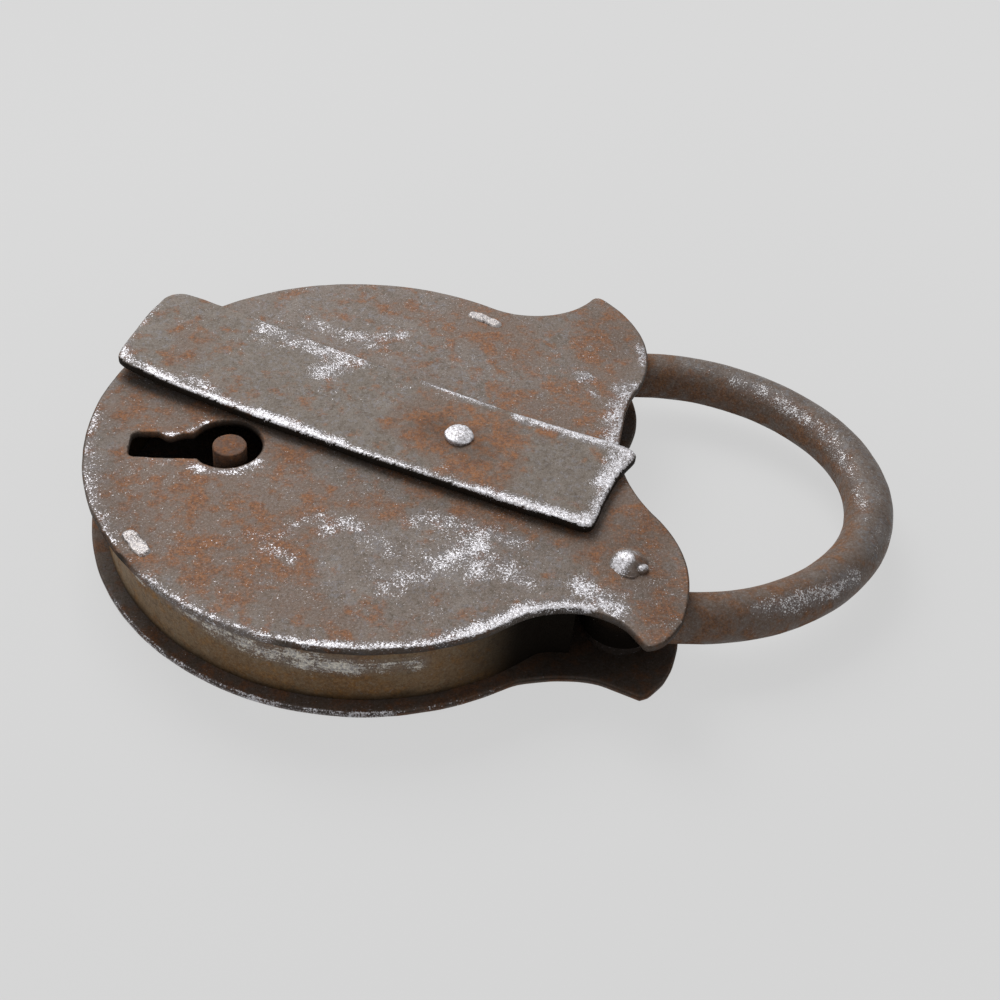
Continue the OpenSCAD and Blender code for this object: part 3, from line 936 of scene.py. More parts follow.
@dataclass
class Plates:
    """The front and back plates, cut by hand to one pattern.

    Attributes:
        body_r: Radius of the round part.
        neck: Centre of the upper neck's arc and its radius.
        horn: Centre of the upper horn and its radius.
        valley: Centre of the hollow front edge along X and its radius.
        tip_r: Radius of each horn's tip.
        front_horn: Hand-cut line of the front plate's near horn.
        back_horn: The same of the back plate.
        keyhole: Centre of the keyhole's round part and its radius.
        slot: The slot's left end, lower edge and upper edge.
        slot_corner: Radius of the slot's corners.
        bright: Rubbed places of the front plate.
        stains: Its rusted places, and clean ones with a negative strength.
        chips: Where the side of its rim is chipped bright.
        shadow_and_dark_places: Where it is darkened: the strip's painted shadow along its near edge,
            and darker places at its left rim, round the hinge and at the far horn.
        back_bright: Rubbed places of the back plate's rim.
        back_gap_shade: Painted shade of the gap between the plates, below the near horn.
    """

    body_r: float = 50.0
    neck: tuple[float, float, float] = (32.75, 57.3, 16.0)
    horn: tuple[float, float, float] = (30.7, 30.5, 24.5)
    valley: tuple[float, float] = (78.26, 32.0)
    tip_r: float = 1.5
    front_horn: tuple[Spot, ...] = (
        (19.5, -46), (23, -44), (26, -42), (29.5, -40.5), (33, -40), (37, -40),
        (40.5, -41.5), (43, -43), (44.5, -45.5), (46, -48), (48.5, -47.5), (51, -45),
        (53, -42), (54.5, -37), (55.5, -31),
    )
    back_horn: tuple[Spot, ...] = (
        (26, -43), (29.5, -42), (33, -41.5), (37, -41.5), (40.5, -42), (44.5, -44),
        (47.5, -45.5), (49, -45), (52, -42), (54, -38.5), (55.5, -34), (56, -30),
        (55.5, -26),
    )
    keyhole: tuple[float, float, float] = (-24.9, -1.5, 6.4)
    slot: tuple[float, float, float] = (-42.0, -5.6, 0.8)
    slot_corner: float = 1.4
    bright: tuple[Rub, ...] = (
        Rub(0.64, 4.8, ((-50, 6), (-50, -4), (-48, -13), (-45.5, -21), (-42, -27))),
        Rub(0.7, 2.6, ((-36, -34.5), (-30.5, -39.5), (-25, -43))),
        Rub(0.8, 2.0, ((-25, -43), (-15, -47.5), (-6, -49.5))),
        Rub(0.9, 2.0, ((-15, -47.5), (-6, -49.5))),
        Rub(1.2, 2.0, ((-9, -49), (0, -49.5), (8, -49), (14, -47.5))),
        Rub(1.3, 3.2, ((13, -48), (19, -45), (25, -42), (28.5, -40))),
        Rub(1.45, 2.8, ((26, -41), (32.5, -39.5), (37, -40))),
        Rub(0.7, 2.0, ((37, -40.5), (40.5, -43), (43.5, -45.5))),
        Rub(0.6, 1.6, ((43.5, -46), (46.5, -49), (49, -48.5))),
        Rub(0.52, 3.4, ((-18.5, -25), (-14, -24.5), (-11, -21.5), (-7, -19.5))),
        Rub(0.48, 3.4, ((-16, -28), (-11.5, -30))),
        Rub(0.62, 4.8, ((-6.5, -22.5), (-3, -21), (0.5, -24), (4, -27))),
        Rub(0.65, 5.0, ((9, -19.5), (15.5, -20.5), (20, -22), (26, -25))),
        Rub(0.34, 14.0, ((4, -26), (14, -29), (22, -29))),
        Rub(0.8, 6.0, ((19, -25), (15.5, -28.5), (12.5, -30.5))),
        Rub(0.6, 5.2, ((13, -31), (8, -33.5), (4, -36.5))),
        Rub(0.8, 6.0, ((19.5, -26), (19, -32))),
        Rub(0.72, 5.2, ((22, -29.5), (26.5, -33.5))),
        Rub(0.55, 4.2, ((2, -33), (5.5, -36.5))),
        Rub(0.85, 4.6, ((36.5, -34.5), (39.5, -38), (42, -40.5))),
        Rub(0.45, 4.2, ((39.5, -37), (46.5, -35.5))),
        Rub(0.5, 4.8, ((-12.5, 36.5), (-8, 34), (-4, 31), (1, 29))),
        Rub(0.65, 3.8, ((-3, 31.5), (2, 31.5), (6.5, 33))),
        Rub(0.95, 5.6, ((50, 18), (48, 12.5), (47, 7), (46, 2))),
        Rub(0.75, 2.8, ((54, 31.5), (54.5, 26))),
        Rub(0.45, 1.6, ((39.5, 44.5), (43.5, 46.5), (46.5, 48.5), (49.5, 47.5))),
        Rub(0.3, 2.0, ((-20, 45.5), (-8, 49), (4, 49.5))),
        Rub(0.85, 2.0, ((-31, -7.5), (-27.5, -9), (-22.5, -9), (-19, -6))),
        Rub(0.5, 1.8, ((-38, -6.5), (-34.5, -7))),
        Rub(1.2, 1.5, ((-36, 0.5), (-34, 0.5))),
        Rub(0.8, 1.2, ((-32, 1.5), (-29, 4))),
        Rub(0.8, 1.8, ((42.5, 17), (43.5, 16))),
        Rub(0.75, 3.4, ((41, 22), (42.5, 21))),
    )
    stains: tuple[Rub, ...] = (
        Rub(1.0, 24.0, ((-32, -16), (-20, -24))),
        Rub(1.0, 10.0, ((46, -24), (50, -20), (49, -12))),
        Rub(0.9, 8.0, ((41, -27), (43, -33), (48, -33))),
        Rub(0.9, 6.0, ((49, -32), (50, -40), (48, -45))),
        Rub(0.9, 8.0, ((-36, -14.5), (-28, -17), (-33, -26), (-25, -31))),
        Rub(0.7, 5.5, ((-3, -45), (-6.5, -39.5), (-13, -41))),
        Rub(0.75, 6.0, ((-22, -14), (-8, -14), (2, -17))),
        Rub(0.8, 7.0, ((20, 42), (28, 36), (24, 31))),
        Rub(0.6, 10.0, ((48, 37), (45, 24), (40, 12))),
        Rub(0.9, 5.0, ((-38, -28), (-34, -31))),
        Rub(1.0, 7.0, ((-43, 6), (-36, 4), (-28, 7))),
        Rub(0.7, 7.0, ((-20, 8), (0, -2), (14, -12), (34, -20))),
        Rub(0.6, 7.0, ((-44, 8), (-30, 2), (-14, -6))),
        Rub(-1.0, 13.0, ((2, -30), (18, -32), (30, -36))),
        Rub(-0.6, 9.0, ((-20, 40), (-8, 36), (8, 34))),
        Rub(0.8, 9.0, ((30, 12), (38, 4), (44, 0))),
        Rub(0.6, 8.0, ((6, 40), (16, 36), (30, 28))),
    )
    chips: tuple[Rub, ...] = (
        Rub(1.0, 4.0, ((-37, -33), (-31, -39), (-23, -44.5), (-15, -47.5))),
        Rub(0.6, 3.0, ((-49, -8), (-46, -19))),
    )
    # Painted shadow of the strip along its near edge, and darker places at the left rim, round the
    # hinge and at the far horn.
    shadow_and_dark_places: tuple[Rub, ...] = (
        Rub(0.24, 12.0, ((-44, 16), (-24, 8), (-4, -3), (20, -14), (36, -21))),
        Rub(0.16, 9.0, ((-47, 4), (-46, -14), (-40, -26))),
        Rub(0.22, 10.0, ((50, -20), (46, -26), (50, -40))),
        Rub(0.12, 14.0, ((50, 34), (44, 40))),
        Rub(0.62, 5.0, ((-44, 16), (-24, 8), (-4, -3), (20, -14), (36, -21))),
        Rub(0.35, 2.4, ((-40, -30.5), (-37.5, -33))),
    )
    back_bright: tuple[Rub, ...] = (
        Rub(1.0, 5.0, ((-42, -27), (-34, -37), (-22, -45), (-8, -49.5), (4, -50))),
        Rub(0.5, 4.0, ((4, -50), (22, -45))),
        Rub(0.6, 4.0, ((42, -46), (48, -48))),
    )
    back_gap_shade: Rub = Rub(0.3, 18.0, ((34, -34), (46, -32)))

    def half(self, line: Outline) -> None:
        """Grows the upper half of the pattern from the hollow's middle.

        Args:
            line: Outline that starts there.
        """
        vx = self.valley[0]
        horn, neck = Vector(self.horn[:2]), Vector(self.neck[:2])
        horn_r, neck_r = self.horn[2], self.neck[2]
        to_horn = math.degrees(math.atan2(horn.y, horn.x - vx))
        tip = self._meet(neck, neck_r + self.tip_r, horn, horn_r - self.tip_r)
        start = self._angle(horn, Vector((vx, 0)))
        line.arc((vx, 0), to_horn - 180)
        line.arc(horn, (self._angle(horn, tip) - start) % 360)
        at_tip = self._angle(horn, tip)
        line.arc(tip, (self._angle(tip, neck) - at_tip) % 360, 0.5)
        into = self._angle(neck, tip)
        out = self._angle(neck, Vector((0, 0)))
        line.arc(neck, -((into - out) % 360))
        line.arc((0, 0), 180 - self._angle(Vector((0, 0)), neck))

    def pattern(self, bm: BMesh, seed: float, lean: Callable[[Vector], float]) -> None:
        """Outline of one plate, a little uneven as cut by hand.

        Args:
            bm: Mesh that gets it.
            seed: Changes the unevenness.
            lean: Inward step of the edge at a point, in millimetres.
        """
        line = Outline(bm, (self.valley[0] - self.valley[1], 0.0))
        self.half(line)
        bmesh.ops.mirror(
            bm, geom=bm.verts[:] + bm.edges[:], matrix=Matrix(), merge_dist=SAME, axis="Y"
        )
        bmesh.ops.remove_doubles(bm, verts=bm.verts[:], dist=SAME)
        for vert in bm.verts:
            outwards = (vert.co - Vector((8, 0, 0))).normalized()
            shift = 0.14 * wobble(vert.co, 11, seed) + 0.07 * wobble(vert.co, 3, seed)
            vert.co += outwards * (shift - lean(vert.co))

    def keyhole_line(self, bm: BMesh) -> None:
        """Edge of the keyhole: round part, slot and the burr that pinches it."""
        cx, cy, radius = self.keyhole
        left, low, high = self.slot
        corner = self.slot_corner
        drop, rise = low - cy, high - cy
        x0 = cx - math.sqrt(radius**2 - drop**2)
        x1 = cx - math.sqrt(radius**2 - rise**2)
        line = Outline(bm, (x0, low))
        line.run((-36.2, low - 0.12)).run((left + corner, low + 0.05))
        line.arc((left + corner, low + corner + 0.05), -90, 0.3)
        line.run((left + 0.05, high - corner))
        line.arc((left + corner + 0.1, high - corner), -90, 0.3)
        line.run((-37.3, high + 0.1), 0.7).run((-36.6, high - 0.35), 0.3)
        line.run((-35.7, high - 1.05), 0.3).run((-34.7, high - 1.1), 0.3)
        line.run((-33.8, high - 0.55), 0.3).run((-32.6, high - 0.05), 0.4)
        line.run((x1, high + 0.15), 0.6).run((x1 + 0.35, rise + cy + 0.75), 0.3)
        begin = math.degrees(math.atan2(line.last.co.y - cy, line.last.co.x - cx))
        end = math.degrees(math.atan2(drop, x0 - cx))
        line.arc((cx, cy), -((begin - end) % 360), 0.6)
        line.close()
        for vert in bm.verts:
            vert.co.x += 0.08 * wobble(vert.co, 1.6, 5.0)
            vert.co.y += 0.08 * wobble(vert.co, 1.6, 9.0)

    def build(self) -> None:
        """Makes both plates."""
        self.build_front()
        self.build_back()

    def build_front(self) -> None:
        """Makes the front plate with its keyhole."""
        bm = bmesh.new()
        self.keyhole_line(bm)
        plate = bmesh.new()
        self.pattern(plate, 3.0, self._front_lean)
        follow(plate, [v for v in plate.verts if v.co.x > 18 and v.co.y < -30], self.front_horn)
        even_out(plate)
        self._merge(bm, plate)
        SheetCut(FRONT_TOP, SHEET).build(bm)
        edge, side = bm.verts.layers.float["edge"], bm.verts.layers.float["side"]

        def side_in_shade(vert: BMVert) -> float:
            """How far the rim's side carries painted shade here, and is not chipped bright."""
            return 1.0 - 0.75 * strongest(self.chips, vert.co)

        def wear(vert: BMVert) -> float:
            """Rubbing of the front plate, on its marks and its rim."""
            general = 0.1 * wobble(vert.co, 12, 4.0) + 0.35 * vert[edge]
            return max(strongest(self.bright, vert.co), general) - vert[side] * side_in_shade(vert)

        paint(bm, "wear", wear)
        paint(bm, "rust", lambda vert: stain_at(self.stains, vert.co))
        # Painted shade: the rim's side is darkened except where chipped, and the strip's painted
        # shadow and the darker places are added.
        paint(bm, "shade", lambda vert: 0.75 * vert[side] * side_in_shade(vert)
              + strongest(self.shadow_and_dark_places, vert.co))
        for vert in bm.verts:
            vert.co.z += 0.05 * wobble(vert.co, 17, 6.0) + 0.015 * wobble(vert.co, 4, 1.0)
        install("front_plate_sheet", bm, PLATE, Body.CASE, "front_plate")

    def build_back(self) -> None:
        """Makes the back plate."""
        bm = bmesh.new()
        self.pattern(bm, 11.0, self._back_lean)
        follow(bm, [v for v in bm.verts if v.co.x > 22 and v.co.y < -20], self.back_horn)
        even_out(bm)
        SheetCut(SHEET, SHEET - 0.04, rims=(0.2, 0.3), drops=(0.36, 0.1), cell=1.3).build(bm)
        edge, side = bm.verts.layers.float["edge"], bm.verts.layers.float["side"]

        def wear(vert: BMVert) -> float:
            """Rubbing of the back plate, heaviest on its rim.

            Args:
                vert: Place on the plate.

            Returns:
                How far it is rubbed bare.
            """
            rubbed = strongest(self.back_bright, vert.co)
            rim = vert[edge] * (0.05 + 0.25 * rubbed) + 0.8 * vert[side] * rubbed
            under = 0.3 + 0.3 * wobble(vert.co, 12, 5.0)
            return under if vert.co.z < 0.2 else rim

        paint(bm, "wear", wear)
        paint(bm, "rust", lambda vert: 0.3 + 0.6 * wobble(vert.co, 16, 2.0))
        # Painted shade: the back plate's upper face between the plates is darkened, most in the gap
        # below the near horn and least at its rim.
        paint(bm, "shade", lambda vert: 0.0 if vert.co.z < 0.5 else min(
            0.95, 0.76 + self.back_gap_shade.at(vert.co) - 0.35 * vert[edge]))
        install("back_plate_sheet", bm, PLATE, Body.CASE, "back_plate")

    @staticmethod
    def _merge(bm: BMesh, other: BMesh) -> None:
        """Adds another mesh.

        Args:
            bm: Mesh that gets it.
            other: The other mesh, freed afterwards.
        """
        mesh = bpy.data.meshes.new("joined")
        other.to_mesh(mesh)
        other.free()
        bm.from_mesh(mesh)
        bpy.data.meshes.remove(mesh)

    @staticmethod
    def _front_lean(point: Vector) -> float:
        """The front plate is a little wider in its hollow."""
        return -0.9 * ease(1 - (point - Vector((46.6, 7, 0))).length / 12)

    @staticmethod
    def _back_lean(point: Vector) -> float:
        """The back plate is a little wider at its near horn."""
        return -0.3 * ease(1 - (point - Vector((55.5, -28, 0))).length / 8)

    @staticmethod
    def _angle(start: Vector, end: Vector) -> float:
        """Direction from one point to another, in degrees."""
        return math.degrees(math.atan2(end[1] - start[1], end[0] - start[0]))

    @staticmethod
    def _meet(first: Vector, r1: float, second: Vector, r2: float) -> Vector:
        """Where two circles meet, on the side away from the body.

        Args:
            first: Centre of the first circle.
            r1: Its radius.
            second: Centre of the second circle.
            r2: Its radius.

        Returns:
            The point.
        """
        span = second - first
        d = span.length
        s = (d * d + r1 * r1 - r2 * r2) / (2 * d)
        way = span / d
        return first + way * s + Vector((-way.y, way.x)) * math.sqrt(r1 * r1 - s * s)


@dataclass
class Walls:
    """The bent side wall, the short front wall and their peened tenons.

    Attributes:
        outer_r: Outer radius of the side wall.
        thick: Thickness of both walls.
        bend: Centre of the side wall's bend beside the free leg.
        end_y: How far out its straight ends lie.
        tail_x: Where it ends beside the hinge.
        valley: Centre of the front wall's arc along X and its radius.
        horn: Centre of the curl at the front wall's ends.
        curl: Turn of that curl, in degrees.
        tenon_turns: Directions of the tenons seen from the middle, in degrees.
        heads: Length, width, lean and two offsets of each head in the front plate.
        streaks: Rubbed places.
    """

    outer_r: float = 47.3
    thick: float = 2.2
    bend: tuple[float, float] = (32.47, 41.0)
    end_y: float = 36.0
    tail_x: float = 36.07
    valley: tuple[float, float] = (78.26, 34.7)
    horn: tuple[float, float] = (30.7, 30.5)
    curl: float = 8.7
    tenon_turns: tuple[float, ...] = (-142.8, 59.4, 142.8)
    heads: tuple[Spot, ...] = (
        (7.6, 3.4, -2, -0.7, 0.5), (8.0, 2.9, -1.5, -0.5, -0.7), (7.0, 2.4, 0, 0, 0),
    )
    streaks: tuple[Rub, ...] = (
        Rub(0.9, 4.6, ((-34, -33, 13), (-26, -39.5, 12), (-20, -43, 11))),
        Rub(0.95, 4.8, ((-22, -42, 11.5), (-12, -46, 10.5), (0, -47.5, 10))),
        Rub(0.75, 3.8, ((0, -47.5, 10), (10, -46, 10))),
        Rub(0.7, 1.2, ((-39.5, -26, 10.5), (-36, -30.5, 10))),
        Rub(0.35, 1.2, ((-33, -34, 5.5), (-22, -42, 5))),
        Rub(0.4, 6.0, ((-46, 12, 9), (-44, 18, 9))),
    )

    def build(self) -> None:
        """Makes the walls and their tenon heads."""
        self.build_band()
        self.build_front_wall()
        self.build_heads()

    def build_band(self) -> None:
        """Makes the bent side wall."""
        bm = bmesh.new()
        bx, by = self.bend
        turn = math.degrees(math.atan2(by, bx))
        place = Matrix.Translation((bx, self.end_y - self.thick / 2, BAR_Z))
        ring = strip_ring(bm, self.thick, WALL_TALL, place @ turn_z(90))
        sweep = Sweep(bm, ring)
        sweep.arc((bx, by), turn - 90, 6.0)
        sweep.arc((0, 0), 360 - 2 * turn, 1.6)
        sweep.arc((bx, -by), turn - 90, 6.0)
        sweep.straight((self.tail_x - bx, 0, 0), 3)
        sweep.finish()
        for turn in self.tenon_turns:
            self._tenon(bm, turn)
        for vert in bm.verts:
            way = Vector((vert.co.x, vert.co.y, 0)).normalized()
            vert.co += way * (0.1 * wobble(vert.co, 9, 2.0))
        self._dress(bm)
        install("side_wall_band", bm, WALL, Body.CASE, "case_band")

    def build_front_wall(self) -> None:
        """Makes the short wall between the shackle's legs."""
        bm = bmesh.new()
        (vx, valley_r), (hx, hy) = self.valley, self.horn
        turn = math.degrees(math.atan2(hy, vx - hx))
        place = Matrix.Translation((vx - valley_r - self.thick / 2, 0, BAR_Z))
        ring = strip_ring(bm, self.thick, WALL_TALL, place)
        for centre, back in (((vx, 0, 0), turn), ((hx, -hy, 0), -self.curl)):
            bmesh.ops.rotate(
                bm, cent=centre, matrix=turn_z(back).to_3x3(), verts=bm.verts[:]
            )
        sweep = Sweep(bm, ring)
        sweep.arc((hx, -hy), self.curl, 3.0)
        sweep.arc((vx, 0), -2 * turn, 2.0)
        sweep.arc((hx, hy), self.curl, 3.0)
        sweep.finish()
        self._dress(bm)
        install("front_wall_strip", bm, WALL, Body.CASE, "front_wall")

    def build_heads(self) -> None:
        """Makes the peened heads of the tenons on both plates."""
        bm = bmesh.new()
        radius = self.outer_r - self.thick / 2
        for turn, (long, wide, lean, dx, dy) in zip(self.tenon_turns, self.heads):
            spot = turn_z(turn) @ Vector((radius, 0, 0))
            place = spot + Vector((dx, dy, 0))
            self._head(bm, place, turn + lean, long, wide, FRONT_TOP, 0.34)
            self._head(bm, spot, turn, 7.0, 2.2, 0.1, 0.1)
        paint(bm, "wear", lambda vert: 0.85 + 0.5 * wobble(vert.co, 1.5, 3.0)
              - (0.6 if vert.co.z < 2 else 0.0)
              - 0.9 * ease((FRONT_TOP + 0.04 - vert.co.z) / 0.2))
        install("tenon_heads", bm, TENON, Body.CASE, crease=50.0)

    def _head(self, bm: BMesh, spot: Vector, turn: float, long: float, wide: float,
              top: float, proud: float) -> None:
        """Adds one hammered tenon head.

        Args:
            bm: Mesh that gets it.
            spot: Its centre from above.
            turn: Its direction in degrees.
            long: Length across the wall's thickness direction.
            wide: Width.
            top: Height of the plate's face.
            proud: How far the head stands above it.
        """
        fresh = bmesh.ops.create_grid(bm, x_segments=22, y_segments=8, size=0.5)["verts"]
        for vert in fresh:
            u, v = vert.co.x * 2, vert.co.y * 2
            reach = (abs(u) ** 3.4 + abs(v) ** 2.6) ** (1 / 3)
            squeeze = max(abs(u), abs(v)) / max(reach, 1e-6) if reach > 1e-6 else 1.0
            squeeze = min(1.0, squeeze)
            waist = 1.0 - 0.16 * math.exp(-(((u + 0.12) / 0.2) ** 2))
            lift = ease((1.0 - max(abs(u) ** 3, abs(v) ** 3)) * 2.2)
            place = Vector((v * squeeze * wide / 2 * waist, u * squeeze * long / 2, 0))
            bumps = 0.3 * wobble(place + spot, 1.1, 7.0)
            height = lift * proud * (1.0 + bumps) - 0.25 * (1 - lift)
            vert.co = Vector((place.x, place.y, height if top > BAR_Z else -height))
        bmesh.ops.transform(
            bm, verts=fresh,
            matrix=Matrix.Translation((spot.x, spot.y, top)) @ turn_z(turn),
        )
        faces = list({f for v in fresh for f in v.link_faces})
        made = bmesh.ops.extrude_face_region(bm, geom=faces)
        lower = [g for g in made["geom"] if isinstance(g, BMVert)]
        for vert in lower:
            vert.co.z = top - 0.8 if top > BAR_Z else top + 0.8
        own = list({f for v in fresh + lower for f in v.link_faces})
        bmesh.ops.recalc_face_normals(bm, faces=own)

    def _tenon(self, bm: BMesh, turn: float) -> None:
        """Adds one tenon's shank through both plates.

        Args:
            bm: Mesh that gets it.
            turn: Its direction seen from the middle, in degrees.
        """
        radius = self.outer_r - self.thick / 2
        size = Matrix.Diagonal((1.7, 6.6, FRONT_TOP - 0.3, 1.0))
        bmesh.ops.create_cube(
            bm, size=1.0,
            matrix=turn_z(turn) @ Matrix.Translation((radius, 0, BAR_Z)) @ size,
        )

    def _shade(self, vert: BMVert) -> float:
        """Darkening of a wall: painted shade at its foot, under the front plate, on its inside, and
        growing towards the shackle's end of the case, where the walls lie deep between the plates; it
        is also darker towards its far side.

        Args:
            vert: Place on the wall.

        Returns:
            How dark the painted shade and darkening make it.
        """
        outer = vert.co.xy.length > self.outer_r - 0.8
        foot = 0.75 * ease((3.6 + 0.5 * wobble(vert.co, 5, 2.0) - vert.co.z) / 1.6)
        under = 0.7 * ease((vert.co.z - 14.0) / 1.2)
        hollow = ease((vert.co.x - 11.0) / 16.0)
        away = (0.3 + 0.25 * wobble(vert.co, 7, 5.0)) * ease((vert.co.y + 14.0) / 14.0)
        return max(foot, under, hollow, away, 0.0 if outer else 0.6)

    def _dress(self, bm: BMesh) -> None:
        """Paints a wall's scrapes, stains and painted shade.

        Args:
            bm: The wall's mesh.
        """
        paint(bm, "wear", lambda vert: max(
            strongest(self.streaks, vert.co), 0.04 + 0.1 * wobble(vert.co, 8, 1.0)))
        paint(bm, "rust", lambda vert: 0.25 + 0.5 * wobble(vert.co, 12, 4.0)
              + 1.2 * ease((vert.co.y + 20.0) / 16.0))
        paint(bm, "shade", self._shade)


@dataclass
class Shackle:
    """The bent bar with its hinge eye and its notched free leg.

    Attributes:
        bar_r: Radius of the bar.
        leg_y: How far out the straight legs lie.
        toe_x: Where the free leg ends.
        toe_steps: Widths that the toe's rounding takes off the bar's radius.
        root_x: Where the hinged leg ends in the eye.
        bow_x: Where the legs pass into the bow.
        side_r: Radius of the bow's sides.
        crown: Centre of the bow's crown along X and its radius.
        hinge: Centre of the eye.
        eye: Radius of the eye and half its height.
        hole_r: Radius of the eye's hole.
        notch: Length, depth and height of the notch for the bolt.
        notch_spot: Middle of the notch along X, and how far its floor lies inside the bar.
        scuffs: Places rubbed bare.
        polish: Places rubbed smooth, where rust is rare.
    """

    bar_r: float = 4.5
    leg_y: float = 33.6
    toe_x: float = 34.0
    toe_steps: tuple[float, ...] = (1.2, 0.35, 0.0)
    root_x: float = 46.5
    bow_x: float = 57.22
    side_r: float = 40.0
    crown: tuple[float, float] = (65.1, 30.0)
    hinge: tuple[float, float] = (45.2, -30.2)
    eye: tuple[float, float] = (7.0, 4.6)
    hole_r: float = 2.56
    notch: Spot = (6.2, 6.3, 12.0)
    notch_spot: tuple[float, float] = (39.5, 5.3)
    scuffs: tuple[Rub, ...] = (
        Rub(0.4, 2.4, ((66, 31.5, 12.5), (74, 29.5, 12))),
        Rub(0.62, 3.8, ((74, 28, 12), (81, 23.5, 12), (86, 17, 12))),
        Rub(0.6, 3.8, ((85, 18.5, 12), (89.5, 11.5, 12), (91.5, 3, 12))),
        Rub(0.5, 3.0, ((91.5, 3, 12), (92, -6, 12), (91.5, -12, 12))),
        Rub(0.4, 3.0, ((95, -4, 12), (94, -13, 12), (91.5, -19, 12))),
        Rub(0.75, 3.2, ((67.5, -35, 13), (72.5, -34, 13))),
        Rub(0.8, 4.0, ((71.5, -34, 12.5), (79, -31.5, 12.5), (87, -26, 12))),
        Rub(0.4, 3.0, ((84, -31.5, 10.5), (89.5, -27, 10.5))),
        Rub(0.25, 4.0, ((55, -31, 12.5), (63, -31, 12.5))),
        Rub(0.4, 2.6, ((98.5, -4, 10), (96, -16, 10), (91, -25, 10))),
    )
    polish: tuple[Rub, ...] = (
        Rub(1.0, 8.5, ((67, 35, 13), (79, 31.5, 13), (89, 23, 13), (95, 9, 13))),
        Rub(0.7, 7.0, ((95.5, 8, 13), (96, -8, 13), (92, -18, 13))),
    )

    def build(self) -> None:
        """Makes the shackle."""
        bm = bmesh.new()
        off = self.side_r - self.leg_y
        turn = math.degrees(math.asin(off / (self.side_r - self.crown[1])))
        lie = Matrix.Rotation(math.pi / 2, 4, "Y")
        radii = [self.bar_r - step for step in self.toe_steps]
        circle = bmesh.ops.create_circle(
            bm, segments=40, radius=radii[0],
            matrix=Matrix.Translation((self.toe_x, self.leg_y, BAR_Z)) @ lie,
        )
        sweep = Sweep(bm, list({e for v in circle["verts"] for e in v.link_edges}))
        for small, large in zip(radii, radii[1:]):
            sweep.straight((self.toe_steps[0] / 2, 0, 0), grow=large / small)
        sweep.straight((self.bow_x - self.toe_x - self.toe_steps[0], 0, 0), 18)
        sweep.arc((self.bow_x, -off), turn - 90, 2.0)
        sweep.arc((self.crown[0], 0), -2 * turn, 2.4)
        sweep.arc((self.bow_x, off), turn - 90, 2.0)
        sweep.straight((self.root_x - self.bow_x, 0, 0), 9)
        sweep.finish()
        self._shape_ends(bm)
        self._forge(bm)
        paint(bm, "wear", lambda vert: max(
            strongest(self.scuffs, vert.co), 0.3 * strongest(self.polish, vert.co),
            0.04 + 0.1 * wobble(vert.co, 7, 6.0)))
        # Painted shade: the bar's lower half is darker, and the legs darken where they pass between
        # the plates, the hinged leg most.
        paint(bm, "shade", lambda vert: 0.36 * ease((8.5 - vert.co.z) / 4.5)
              + (0.8 if vert.co.y < 0.0 else 0.3) * ease((53.0 - vert.co.x) / 6.0))
        crown = Vector((64, 0))
        paint(bm, "rust", lambda vert: 0.5 + 0.45 * wobble(vert.co, 13, 2.0)
              + 0.8 * ease((66.0 - vert.co.x) / 8.0)
              + 0.6 * ease((31.0 - (vert.co.xy - crown).length) / 3.0)
              - 1.6 * strongest(self.polish, vert.co))
        install("shackle_bar", bm, BAR, Body.SHACKLE, "shackle", crease=42.0)

    def _shape_ends(self, bm: BMesh) -> None:
        """Adds the eye with its hole, and cuts the free leg's notch.

        Args:
            bm: The bent bar.
        """
        eye_r, half = self.eye
        eye, notch, hole = bmesh.new(), bmesh.new(), bmesh.new()
        disc(eye, eye_r, BAR_Z - half, BAR_Z + half, self.hinge, 0.5, 64)
        bmesh.ops.recalc_face_normals(eye, faces=eye.faces)
        along, inside = self.notch_spot
        place = (along, self.leg_y - self.bar_r + inside - self.notch[1] / 2, BAR_Z)
        bmesh.ops.create_cube(
            notch, size=1.0,
            matrix=Matrix.Translation(place) @ Matrix.Diagonal((*self.notch, 1.0)),
        )
        bmesh.ops.create_cone(
            hole, cap_ends=True, segments=48, radius1=self.hole_r, radius2=self.hole_r,
            depth=20, matrix=Matrix.Translation((*self.hinge, BAR_Z)),
        )
        for tool, how in ((eye, Carve.JOIN), (notch, Carve.CUT), (hole, Carve.CUT)):
            carve(bm, tool, how)

    def _forge(self, bm: BMesh) -> None:
        """Gives the bow its uneven forged skin and the nick on its near shoulder.

        Args:
            bm: The bar with its ends.
        """
        nick = Vector((91.6, -27.6, 9.0))
        for vert in bm.verts:
            if vert.co.x < 54.0:
                continue
            fade = ease((vert.co.x - 54.0) / 6.0)
            centre = self._centre(vert.co)
            way = (vert.co - centre).normalized()
            skin = 0.09 * wobble(vert.co, 8, 3.0) + 0.04 * wobble(vert.co, 2.6, 7.0)
            dent = 0.55 * ease(1.0 - (vert.co - nick).length / 4.5)
            vert.co += way * (fade * skin - dent)

    def _centre(self, point: Vector) -> Vector:
        """Nearest point of the bar's centre line on the bow.

        Args:
            point: Place on the bar.

        Returns:
            The centre of the bar there.
        """
        flat = Vector((point.x, point.y, 0))
        off = self.side_r - self.leg_y
        if point.x < self.bow_x:
            return Vector((point.x, math.copysign(self.leg_y, point.y), BAR_Z))
        turn = math.asin(off / (self.side_r - self.crown[1]))
        crown = Vector((self.crown[0], 0, 0))
        if abs(math.atan2(point.y, point.x - self.crown[0])) < turn:
            middle, radius = crown, self.crown[1]
        else:
            middle = Vector((self.bow_x, -math.copysign(off, point.y), 0))
            radius = self.side_r
        spot = middle + (flat - middle).normalized() * radius
        return Vector((spot.x, spot.y, BAR_Z))


